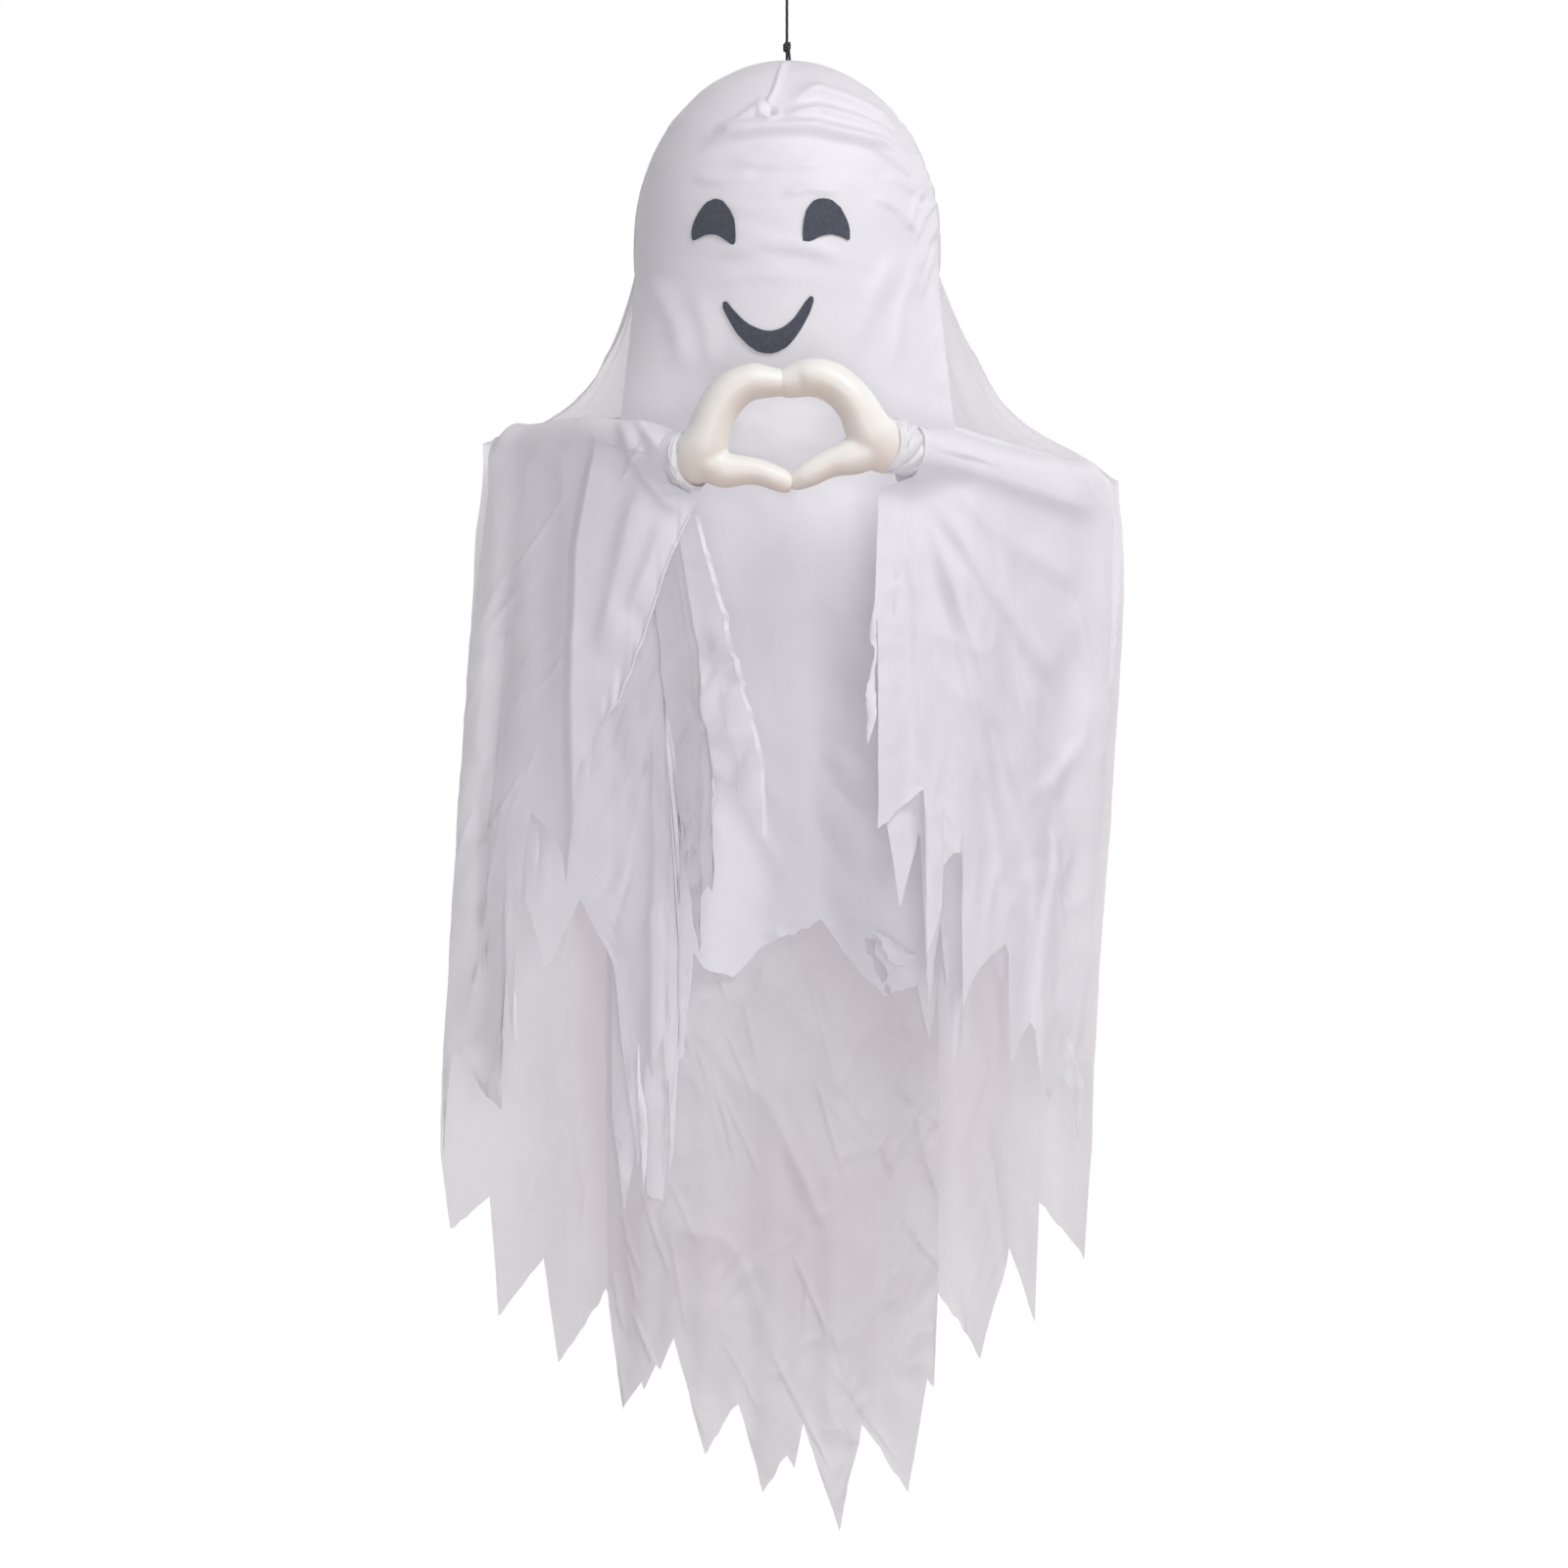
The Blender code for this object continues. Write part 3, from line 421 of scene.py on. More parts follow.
def rows_to(hem, along, top, share):
    """Depths of a sheet's rows from its top line, at share 0, to its jagged hem, at 1.

    The rows go evenly to a smooth line that stays above all the notches nearby, and the
    last TIP_ROWS of them on to the hem. Also gives the share of the way to that line.
    """
    apart = np.abs(along - along.T)
    highest = np.where(apart < 30, hem.T, np.inf).min(axis=1)
    near = apart < 15
    line = ((near * highest).sum(axis=1) / near.sum(axis=1))[:, None] - 3
    way = np.clip(share / (1 - TIP_ROWS), 0, 1)
    rest = np.clip((share - 1 + TIP_ROWS) / TIP_ROWS, 0, 1)
    depths = np.where(share < 1 - TIP_ROWS, mixed(top, line, way), mixed(line, hem, rest))
    return depths, way


def columns_of(hem, widest):
    """The hem's own corners and enough places between them for a fine cut edge."""
    first, last = hem[0, 0], hem[-1, 0]
    even = np.linspace(first, last, int((last - first) / widest) + 1)
    clear = np.abs(even[:, None] - hem[None, :, 0]).min(axis=1) > 0.3 * widest
    return np.sort(np.concatenate([hem[:, 0], even[clear]]))


def frayed(at, hem, seed):
    """The hem's height with a cut edge that wanders by a millimetre or two."""
    return np.interp(at, hem[:, 0], hem[:, 1]) + 1.6 * crumple(at, at * 0, 5, seed)


def cut_sizes(points):
    """Distances along the cloth in both directions, for its weave."""
    across = np.linalg.norm(np.diff(points, axis=0), axis=-1)
    down = np.linalg.norm(np.diff(points, axis=1), axis=-1)
    u = np.cumsum(np.pad(across, ((1, 0), (0, 0))), axis=0).mean(axis=1, keepdims=True)
    v = np.cumsum(np.pad(down, ((0, 0), (1, 0))), axis=1)
    return np.stack([np.broadcast_to(u, v.shape), v], -1)


def cloth_material(name, low, high, through, holes, sheen, weave, crushed):
    """White polyester: cloudy colour, a fine weave, crumples, and light that comes through.

    The colour goes over to the clean white from the chest up to the shoulders. through is
    the share of light that the cloth passes on softly, and holes the share that goes
    straight between its threads, at the hems and above the shoulders. weave is in threads
    for each metre, and crushed is how deep the sharp little creases are.
    """
    made, nodes, links, shader = shader_of(name)
    place = nodes.new("ShaderNodeTexCoord")
    _, shade = mottled(nodes, links, place.outputs["Object"], 9, low, high)
    height = nodes.new("ShaderNodeSeparateXYZ")
    links.new(place.outputs["Object"], height.inputs["Vector"])
    upper, opening = nodes.new("ShaderNodeMapRange"), nodes.new("ShaderNodeMapRange")
    for node, (at_hems, above) in ((upper, (0, 1)), (opening, holes)):
        node.inputs["From Min"].default_value = CHEST_LEVEL
        node.inputs["From Max"].default_value = SHOULDER_LEVEL
        node.inputs["To Min"].default_value = at_hems
        node.inputs["To Max"].default_value = above
        links.new(height.outputs["Z"], node.inputs["Value"])
    whitened = nodes.new("ShaderNodeMix")
    whitened.data_type = "RGBA"
    whitened.inputs["B"].default_value = (*WHITE_HIGH, 1)
    links.new(upper.outputs["Result"], whitened.inputs["Factor"])
    links.new(shade.outputs["Color"], whitened.inputs["A"])
    links.new(whitened.outputs["Result"], shader.inputs["Base Color"])
    on_piece, on_cloth = place.outputs["Object"], place.outputs["UV"]
    puckers = texture(nodes, links, "Noise", on_piece, Scale=38, Detail=4, Distortion=0.8)
    bump = bumped(nodes, links, puckers.outputs["Fac"], 0.25, 0.003)
    sharp = texture(nodes, links, "Noise", on_piece, Scale=11, Detail=2, Distortion=0.7)
    sharp.noise_type = "RIDGED_MULTIFRACTAL"
    bump = bumped(nodes, links, sharp.outputs["Fac"], crushed, 0.004, bump)
    for direction in ("X", "Y"):
        threads = texture(nodes, links, "Wave", on_cloth, Scale=weave, Distortion=0.6)
        threads.bands_direction = direction
        bump = bumped(nodes, links, threads.outputs["Fac"], 0.25, 0.00015, bump)
    links.new(bump.outputs["Normal"], shader.inputs["Normal"])
    shader.inputs["Roughness"].default_value = 0.48 if sheen > 0.2 else 0.75
    shader.inputs["Sheen Weight"].default_value = sheen
    shader.inputs["Sheen Roughness"].default_value = 0.4
    glow = nodes.new("ShaderNodeBsdfTranslucent")
    glow.inputs["Color"].default_value = (high[0], 0.955 * high[1], 0.975 * high[2], 1)
    soft = nodes.new("ShaderNodeMixShader")
    soft.inputs["Fac"].default_value = through
    links.new(shader.outputs["BSDF"], soft.inputs[1])
    links.new(glow.outputs["BSDF"], soft.inputs[2])
    gaps = nodes.new("ShaderNodeBsdfTransparent")
    open_weave = nodes.new("ShaderNodeMixShader")
    links.new(opening.outputs["Result"], open_weave.inputs["Fac"])
    links.new(soft.outputs["Shader"], open_weave.inputs[1])
    links.new(gaps.outputs["BSDF"], open_weave.inputs[2])
    links.new(open_weave.outputs["Shader"], nodes["Material Output"].inputs["Surface"])
    return made


WHITE_LOW, WHITE_HIGH = (0.878, 0.872, 0.902), (0.926, 0.921, 0.952)
VOILE_LOW, VOILE_HIGH = (0.775, 0.75, 0.772), (0.838, 0.828, 0.845)
satin = cloth_material("white_satin", WHITE_LOW, WHITE_HIGH, 0.2, (0, 0), 0.25, 260, 0.22)
voile = cloth_material(
    "thin_voile", VOILE_LOW, VOILE_HIGH, 0.35, (0.04, 0.18), 0.1, 210, 0.7
)


def on_head(angle, latitude):
    """The cloth on the egg: (wide sin b sin a, -deep sin b cos a, tall cos b).

    a is the angle round from the face, and b the latitude down from the crown.
    """
    wide, deep, tall = HEAD_WIDTH / 2 + COVER, HEAD_DEPTH / 2 + COVER, HEAD_HEIGHT / 2
    return points_of(
        wide * np.sin(latitude) * np.sin(angle),
        -deep * np.sin(latitude) * np.cos(angle),
        HEAD_MIDDLE + (tall + CROWN_COVER) * np.cos(latitude),
    )


def gown_section(z):
    """Half-width, half-angle and depth of the gown's arc at a level.

    They go smoothly from the egg's own at its middle to those of the chest.
    """
    fall = eased((HEAD_MIDDLE - z) / (0.8 * HEAD_HEIGHT))
    wide = (HEAD_WIDTH / 2 + COVER) * np.sin(FACE_SEAM)
    return (
        mixed(wide, GOWN_HALF_WIDTH, fall),
        mixed(FACE_SEAM, CHEST_ARC, fall),
        mixed(HEAD_DEPTH / 2 + COVER, CHEST_FORWARD, fall),
    )


def gown_depth(x, z):
    """How far forward the cloth is: the egg above its middle, an arc with folds below.

    The egg is -deep sqrt(1 - (x / wide)^2 - (z / tall)^2), and the arc is part of a circle
    squeezed to the gown's width and depth at that level, with soft waves that grow down.
    """
    wide, deep = HEAD_WIDTH / 2 + COVER, HEAD_DEPTH / 2 + COVER
    tall = HEAD_HEIGHT / 2 + CROWN_COVER
    round_part = 1 - (x / wide) ** 2 - ((z - HEAD_MIDDLE) / tall) ** 2
    egg = -deep * np.sqrt(np.clip(round_part, 0, 1))
    half, spread, forward = gown_section(z)
    sine = np.clip(x * np.sin(spread) / half, -1, 1)
    wave = np.sin(9 * x / half + z / (0.8 * FALL))
    ripple = GOWN_FOLD * eased((NECK - z) / FALL) * wave * (1 - (x / half) ** 2)
    return np.where(z > HEAD_MIDDLE, egg, -forward * np.sqrt(1 - sine**2) + ripple)


# The ridge from the cord to the pinched knot of cloth, the folds that leave it, and those
# over the brow, the eyes and the cheeks: line, width, height, width of the steep side
FACE_FOLDS = (
    (((1, -2), (-2, 6), (-9, 33), (-14, 46), (-15, 60)), 2.8, 1.7, 2.2),
    (((-22, 46), (-21, 59), (-14, 65), (-6, 60), (-8, 49)), 2.6, 1.7, 2),
    (((-14, 46), (-14, 62)), 2.6, -2.2, 2.6),
    (((-12, 40), (-26, 52), (-39, 62), (-60, 72)), 6, 1.4, 4),
    (((-15, 62), (-30, 66), (-52, 74)), 5, 1.0, 3),
    (
        ((-74, 86), (-44, 75), (-16, 72), (20, 71), (44, 76), (71, 80), (106, 88)),
        9, 5, 3.4,
    ),
    (((-2, 46), (25, 37), (48, 44), (71, 54), (92, 68)), 8, 3.9, 3.6),
    (((-8, 60), (25, 55), (55, 61), (92, 75)), 6, 3.3, 3),
    (((60, 78), (84, 92), (106, 106)), 6, 2.2, 3),
    (((76, 104), (96, 112), (112, 118)), 5, 1.6, 3),
    (((-50, 96), (-10, 101), (34, 100)), 5, 1.3, 3),
    (((-6, 126), (16, 120), (44, 122)), 4, 1.3, 2.5),
    (((-78, 108), (-50, 112), (-22, 108)), 5, 1.1, 3),
    (((66, 122), (88, 132), (104, 150)), 5, 1.6, 3),
    (((-60, 172), (-20, 164), (20, 168), (50, 180)), 7, 1.6, 4),
    (((-56, 196), (-30, 188), (10, 190)), 6, 0.8, 4),
    (((-108, 176), (-103, 196), (-89, 226), (-82, 262)), 9, 1.2, 7),
    (((-76, 196), (-64, 226), (-60, 262)), 9, 0.7, 7),
    (((92, 160), (66, 206), (52, 250)), 10, 1.8, 6),
    (((110, 150), (92, 206), (84, 262)), 7, 1.8, 5),
    (((118, 96), (104, 118), (96, 146)), 3.5, 1.5, 2),
    (((121, 112), (108, 136), (101, 160)), 3, 1.4, 2),
    (((123, 130), (112, 152), (104, 180)), 3.5, 1.5, 2),
    (((123, 150), (113, 172), (106, 202)), 3, 1.3, 2),
)
FOLD_HEIGHT = 1.9  # times the heights above

across = columns_of(GOWN_HEM, 1.6)[:, None]
down = np.linspace(0, 1, 260)[None]
share = across * MM / GOWN_HALF_WIDTH
latitude = mixed(CROWN_HOLE_D / HEAD_WIDTH, pi / 2, np.minimum(down / FACE_SHARE, 1))
hem = frayed(across, GOWN_HEM, 3)
face_foot = (NECK - HEAD_MIDDLE) / MM
lower = np.clip((down - FACE_SHARE) / (1 - FACE_SHARE), 0, 1)
z = NECK - rows_to(hem, across, face_foot, lower)[0] * MM
half, spread, _ = gown_section(z)
x = half * np.sin(share * spread) / np.sin(spread)
gown_grid = np.where(
    (down < FACE_SHARE)[..., None],
    on_head(share * FACE_SEAM, latitude),
    points_of(x, gown_depth(x, z), z),
)
seen_x, seen_z = seen_place(gown_grid)
wrinkles = FOLD_HEIGHT * sum(fold(seen_x, seen_z, *drawn) for drawn in FACE_FOLDS)
edge_run = seen_z + 0.6 * np.abs(seen_x)
edge_band = eased((np.abs(share) - 0.78) / 0.14) * eased((1 - np.abs(share)) / 0.03)
gathers = crumple(edge_run, 0.25 * seen_x, 6, 5)
gathers = gathers + 0.6 * crumple(edge_run, 0.4 * seen_x, 3.4, 6)
wrinkles += 0.9 * gathers * edge_band * np.where(seen_x > 0, 1.0, 0.2) * eased(seen_z / 60)
below_neck = eased((seen_z - 300) / 120)
wrinkles += 2.4 * below_neck * crumple(seen_x + 0.3 * seen_z, seen_z * 0.4, 46, 11)
wrinkles += 0.8 * below_neck * crumple(seen_x - 0.3 * seen_z, seen_z * 0.5, 19, 12)
wrinkles += below_neck * creases(seen_x, seen_z, 22, 14, -0.9, 3.0, 1.1)
wrinkles += 0.25 * crumple(seen_x, seen_z, 17, 13)
wrinkles += 0.8 * net(0.45 * seen_x + 0.1 * seen_z, seen_z - 0.25 * seen_x, 19, 16)
wrinkles += 1.8 * below_neck * net(seen_x - 0.5 * seen_z, seen_z * 0.6, 27, 15)
wrinkles *= eased(seen_z / 5)
gown_grid = pushed(gown_grid, wrinkles * MM)
gown = mesh_piece("gown", gown_grid, satin, uv=cut_sizes(gown_grid))
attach(gown, "root")
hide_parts("front_gown")


# The eyes and the smile. Dark grey felt with a fine nap is cut to shape and glued flat on
# the face, so each patch bends with the egg and has a crisp edge.
FELT = 0.8 * MM
FELT_AHEAD = 1.9 * MM  # how far its face is ahead of the smooth cloth
# Stations of each outline: across, then its upper and lower edge below the crown
LEFT_EYE = np.array((
    (-76.2, 150.5, 155.2), (-75.4, 146.7, 158.0), (-73.4, 141.4, 157.8),
    (-70.3, 135.8, 156.5), (-66.3, 130.6, 154.9), (-63.2, 128.1, 154.4),
    (-57.7, 126.1, 154.8), (-54.5, 126.7, 156.1), (-51.0, 128.2, 158.3),
    (-45.5, 135.6, 162.4), (-43.6, 139.6, 163.5), (-42.0, 143.2, 163.4),
    (-41.2, 149.9, 161.5), (-41.0, 154.5, 158.4),
))
RIGHT_EYE = np.array((
    (12.6, 155.3, 160.7), (12.8, 150.7, 163.8), (13.5, 144.5, 164.6),
    (15.4, 136.6, 163.0), (18.1, 132.7, 161.8), (20.9, 129.5, 160.6),
    (24.7, 127.8, 158.2), (28.6, 127.3, 156.9), (32.5, 127.5, 156.0),
    (36.4, 128.9, 155.7), (42.7, 134.2, 157.2), (47.3, 142.9, 159.2),
    (48.9, 147.1, 159.8), (49.9, 152.5, 158.7),
))
SMILE = np.array((
    (-51.0, 208.8, 212.7), (-49.9, 208.1, 215.8), (-47.9, 208.2, 219.7),
    (-43.6, 213.7, 227.6), (-39.7, 218.1, 233.8), (-34.6, 223.2, 239.3),
    (-29.6, 226.8, 244.0), (-23.7, 229.6, 247.9), (-18.7, 231.3, 249.2),
    (-12.8, 232.0, 249.6), (-7.8, 230.9, 248.5), (-3.2, 229.0, 246.2),
    (0.3, 226.7, 244.3), (5.8, 221.7, 238.2), (11.2, 214.1, 230.5),
    (14.7, 208.7, 224.3), (18.3, 204.8, 217.4), (20.1, 204.8, 212.0),
    (21.0, 205.9, 209.0),
))

felt, nodes, links, shader, place, _ = mottled_finish(
    "dark_felt", 320, (0.062, 0.068, 0.090), (0.086, 0.094, 0.120), 0.95
)
nap = texture(nodes, links, "Noise", place, Scale=1500, Detail=4)
bump = bumped(nodes, links, nap.outputs["Fac"], 0.8, 0.0006)
links.new(bump.outputs["Normal"], shader.inputs["Normal"])
shader.inputs["Sheen Weight"].default_value = 0.15

for name, outline, node in (
    ("left_felt_eye", LEFT_EYE, "left_eye"),
    ("right_felt_eye", RIGHT_EYE, "right_eye"),
    ("felt_smile", SMILE, "mouth"),
):
    at = mixed(outline[0, 0], outline[-1, 0], (1 - np.cos(np.linspace(0, pi, 61))) / 2)
    top = np.interp(at, outline[:, 0], outline[:, 1])[:, None]
    foot = np.interp(at, outline[:, 0], outline[:, 2])[:, None]
    z = CROWN - mixed(top, foot, np.linspace(0, 1, 25)[None]) * MM
    x = np.broadcast_to(at[:, None] * MM, z.shape)
    grid = np.stack([x, gown_depth(x, z) - FELT_AHEAD, z], -1)
    patch = mesh_piece(name, grid, felt)
    wall = patch.modifiers.new("Thickness", "SOLIDIFY")
    wall.thickness = FELT
    wall.offset = -1
    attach(patch, "root")
    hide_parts(node)


# The hands. Two mitten shaped hands are moulded in satin cream vinyl, and their fingertips
# and thumb tips meet in a heart. Each is pushed on an end of the arm wire.
HANDS_FORWARD = -190 * MM
HEART = {"left": NECK - 12 * MM, "right": NECK - 7.5 * MM}
# Stations from the wrist to the tips: out from the middle, above the heart's middle and
# behind it, then the half-width and half-depth
FINGERS = {
    "left": (
        (84, -31, 17, 16, 15), (78, -31.5, 11, 18, 16.5), (71, -30, 5, 20.5, 18),
        (64.5, -22, 1, 19, 19.5), (60, -11, 0, 17, 20), (56, 1, -0.5, 16.2, 20.5),
        (49.5, 13, -1, 15.8, 21), (41.5, 21.5, -1, 15.5, 21.5), (33, 26.5, -1, 14.6, 21.5),
        (25.5, 28.4, -1, 14.2, 21), (17, 28.2, 0, 12.8, 19), (11, 27.9, 0, 11.4, 17),
        (6, 27.4, 0, 10.8, 15.5), (0.5, 27, 0, 10, 13.5),
    ),
    "right": (
        (92, -27, 15, 16, 15), (84, -27, 10, 18, 16.5), (75, -25.5, 5, 21, 18),
        (66, -18, 1, 19.5, 19.5), (60, -8, 0, 17.4, 20), (55.5, 1.5, -0.5, 16, 20.5),
        (50, 9.5, -1, 15.6, 21), (43.5, 16.5, -1, 15.3, 21.5), (35.5, 22.5, -1, 15.3, 21.5),
        (28, 25.6, -1, 15.2, 21.5), (20, 27, -1, 15, 21), (12.3, 26.4, 0, 14.4, 19),
        (5, 24.2, 0, 13.2, 17), (-1, 22.6, 0, 11.8, 15.5), (-6, 21.6, 0, 10.2, 13.5),
    ),
}
THUMBS = {
    "left": (
        (64, -30, 0, 14, 15), (56, -36, 0, 14.5, 15), (48, -40, -1, 13.6, 14.5),
        (39, -40, -1, 12.4, 13.5), (27.5, -40.4, -1, 10.6, 12.5), (18, -42.4, -1, 10, 12),
        (9, -46, -1, 9.6, 11.5), (3, -48.8, -1, 8.8, 10), (-1, -50.4, -1, 7.6, 8.5),
        (-4.4, -51.6, -1, 6, 6.8),
    ),
    "right": (
        (66, -24, 0, 14, 15), (57, -31, 0, 15, 15), (46, -35, -1, 13.8, 14.5),
        (37, -37.4, -1, 11.8, 13.5), (28, -41, -1, 11, 12.5), (19, -46, -1, 10.4, 12),
        (12, -50, -1, 9.2, 11), (7.7, -52.6, -1, 7.8, 9), (5, -54.2, -1, 6.6, 7.5),
        (2.4, -55.2, -1, 5.2, 6.2),
    ),
}
HAND_CELL = 1.3 * MM  # cell of the skin that fuses the fingers and the thumb

# Painted shade: the colour goes over to tan where the surface faces down, standing in for
# the shadow and warm bounced light under the hands
vinyl, nodes, links, shader = shader_of("cream_vinyl")
place = nodes.new("ShaderNodeTexCoord").outputs["Object"]
cloudy, shade = mottled(nodes, links, place, 18, (0.90, 0.885, 0.84), (0.93, 0.92, 0.885))
facing = nodes.new("ShaderNodeSeparateXYZ")
links.new(nodes.new("ShaderNodeTexCoord").outputs["Normal"], facing.inputs["Vector"])
painted_shade_mask = nodes.new("ShaderNodeMapRange")
painted_shade_mask.interpolation_type = "SMOOTHSTEP"
painted_shade_mask.inputs["From Min"].default_value = 0.6
painted_shade_mask.inputs["From Max"].default_value = -0.9
links.new(facing.outputs["Z"], painted_shade_mask.inputs["Value"])
# the tan mixed in here is painted shade on the down-facing undersides
painted_underside_shade = nodes.new("ShaderNodeMix")
painted_underside_shade.data_type = "RGBA"
painted_underside_shade.inputs["B"].default_value = (0.80, 0.70, 0.62, 1)
links.new(painted_shade_mask.outputs["Result"], painted_underside_shade.inputs["Factor"])
links.new(shade.outputs["Color"], painted_underside_shade.inputs["A"])
links.new(painted_underside_shade.outputs["Result"], shader.inputs["Base Color"])
pores = texture(nodes, links, "Noise", place, Scale=700)
wavy = bumped(nodes, links, cloudy.outputs["Fac"], 0.15, 0.004)
bump = bumped(nodes, links, pores.outputs["Fac"], 0.12, 0.0004, wavy)
links.new(bump.outputs["Normal"], shader.inputs["Normal"])
for socket, value in (
    ("Roughness", 0.42),
    ("Subsurface Weight", 0.25),
    ("Subsurface Radius", (0.006, 0.003, 0.002)),
    ("Subsurface Scale", 1.0),
):
    shader.inputs[socket].default_value = value


def smooth_run(stations, steps):
    """A smooth curve through all the stations.

    Each stretch is a cubic that starts and ends in the direction of its neighbours.
    """
    p = np.asarray(stations, float)
    p = np.vstack([2 * p[0] - p[1], p, 2 * p[-1] - p[-2]])
    t = np.linspace(0, 1, steps, endpoint=False)[:, None]
    a, b, c, d = p[:-3, None], p[1:-2, None], p[2:-1, None], p[3:, None]
    run = 0.5 * (
        2 * b
        + (c - a) * t
        + (2 * a - 5 * b + 4 * c - d) * t**2
        + (3 * b - a - 3 * c + d) * t**3
    )
    return np.vstack([run.reshape(-1, p.shape[1]), p[-2]])


def limb(stations, side, height):
    """Oval rings along a curve: centre + across w cos a + deep d sin a."""
    run = smooth_run(stations, 10) * MM
    centre = np.stack([side * run[:, 0], HANDS_FORWARD + run[:, 2], height + run[:, 1]], -1)
    along = unit(np.gradient(centre, axis=0))
    across = unit(np.cross(along, (0, 1, 0)))
    deep = np.cross(across, along)
    a = np.linspace(0, 2 * pi, 48, endpoint=False)[:, None, None]
    return centre + across * run[:, 3:4] * np.cos(a) + deep * run[:, 4:5] * np.sin(a)


def hand_mesh(name, fingers, thumb):
    """The fingers' and the thumb's skins fused into one: remeshed in cells and smoothed."""
    whole = mesh_piece(name, fingers, vinyl, ring=True, caps=True)
    other = mesh_piece(name, thumb, vinyl, ring=True, caps=True)
    points = np.concatenate([fingers.reshape(-1, 3), thumb.reshape(-1, 3)])
    first = len(whole.data.vertices)
    faces = [list(f.vertices) for f in whole.data.polygons]
    faces += [[first + v for v in f.vertices] for f in other.data.polygons]
    bpy.data.objects.remove(other)
    whole.data = bpy.data.meshes.new(name)
    whole.data.from_pydata(points.tolist(), [], faces)
    fuse = whole.modifiers.new("Fuse", "REMESH")
    fuse.mode = "VOXEL"
    fuse.voxel_size = HAND_CELL
    soften = whole.modifiers.new("Soften", "SMOOTH")
    soften.factor = 0.5
    soften.iterations = 26
    bpy.context.view_layer.update()
    graph = bpy.context.evaluated_depsgraph_get()
    fused = bpy.data.meshes.new_from_object(whole.evaluated_get(graph))
    whole.modifiers.clear()
    whole.data = fused
    fused.materials.clear()
    fused.materials.append(vinyl)
    fused.shade_smooth()
    return whole


for side, word in ((-1, "left"), (1, "right")):
    skins = [limb(table[word], side, HEART[word]) for table in (FINGERS, THUMBS)]
    moulded = hand_mesh(f"{word}_moulded_hand", *skins)
    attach(moulded, "root")
    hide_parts(f"{word}_hand")


# The sleeves. Each is a wide tube of thin polyester laid over the forearm and gathered at
# the wrist, with a front fall and a back fall that end in long torn tips.
ARM_D = 36 * MM
ARM_EASE = 20 * MM
SLEEVE_FROM_ELBOW = 6 * MM
SLEEVE_GAP = 2 * MM
ELBOW_EASE = 3 * MM
SLEEVE_FOLD = 4 * MM
SWING = 6 * MM
ELBOW_DROP = 9 * MM
GATHER_PLEAT = 1.3 * MM  # height of the pleats where the sleeve is drawn in at the wrist
SOFT_BULGE = 3 * MM  # how far the cloth stands off the forearm before that
HEM_CURL = 6 * MM
FLAP_AHEAD = 141 * MM  # depth of the lapped part, and how it goes forward to the wrist
FLAP_TURN = 0.42
SECOND_FLAP_AHEAD = 20 * MM
SLEEVE_ROWS = 320
CUFF_LENGTH = 26 * MM
CUFF_AHEAD = {"left": 0.45, "right": 0.72}  # share of its length past the wrist
CUFF_SLANT = {"left": 0.3, "right": 0.05}  # more of that below than above
CUFF_LAP = 3 * MM  # how far behind the wrist the sleeve's gathered end is tied
TURN_SHARE = 0.2
# Elbow, middle of the forearm and wrist: across, forward and below the neck
FOREARMS = {
    "left": ((-229, -30, -23), (-146, -113, -22), (-80, -176, -42)),
    "right": ((252, -30, -54), (166, -113, -48), (90, -176, -34)),
}
# Corners of the front hems from elbow to wrist: out from the middle, below the neck
FRONT_HEMS = {
    "left": (
        (276.5, 596), (272.6, 540), (268.5, 504), (255, 511), (243.6, 536), (226.4, 553),
        (224.7, 504), (223.4, 456), (221.4, 450), (217.3, 498), (214.7, 438), (212.2, 387),
        (208, 348), (202, 316), (192.4, 326), (183.2, 336), (177.4, 348), (173.8, 372),
        (169.8, 338), (164.7, 293), (160.6, 272), (155.1, 291), (152.1, 256), (143.5, 246),
        (130.4, 226), (117.4, 195), (104.3, 160), (95.1, 132), (85.9, 110), (77, 90),
        (70, 76),
    ),
    "right": (
        (238.8, 569), (234.7, 594), (231.4, 561), (227.3, 537), (220.7, 526), (214, 538),
        (206.6, 552), (200.1, 517), (197.6, 489), (194.3, 483), (186.3, 493), (182.2, 506),
        (177, 513), (175.8, 481), (175, 430), (172.5, 419), (163.6, 425), (152.3, 435),
        (143.5, 450), (137.1, 469), (135.9, 405), (134.8, 345), (128.4, 347), (121.3, 358),
        (120.3, 389), (115, 408), (108.7, 426), (107.9, 385), (107, 345), (105.6, 298),
        (93, 307), (79.8, 320), (70, 327),
    ),
}
# Corners of the back hems: share of the way to the wrist, out from the middle, below
BACK_HEMS = {
    "left": (
        (0, 262, 430), (0.1, 246, 480), (0.2, 222, 400), (0.3, 196, 452), (0.38, 166, 385),
        (0.44, 138, 440), (0.5, 120, 604), (0.535, 112, 500), (0.57, 108, 528),
        (0.6, 98, 490), (0.63, 92, 612), (0.655, 84, 470), (0.67, 98, 225),
        (0.71, 90, 262), (0.75, 82, 340), (0.78, 78, 372), (0.82, 68.5, 429),
        (0.84, 67, 380), (0.86, 61, 372), (0.885, 56, 377), (0.9, 58, 330),
        (0.915, 60, 283), (0.94, 46, 292), (0.97, 32, 310), (1, 19, 333),
    ),
    "right": (
        (0, 240, 430), (0.14, 222, 480), (0.3, 196, 390), (0.4, 170, 450), (0.5, 150, 372),
        (0.6, 132, 520), (0.68, 122, 400), (0.76, 112, 470), (0.84, 104, 330),
        (0.94, 88, 390), (1, 74, 300),
    ),
}
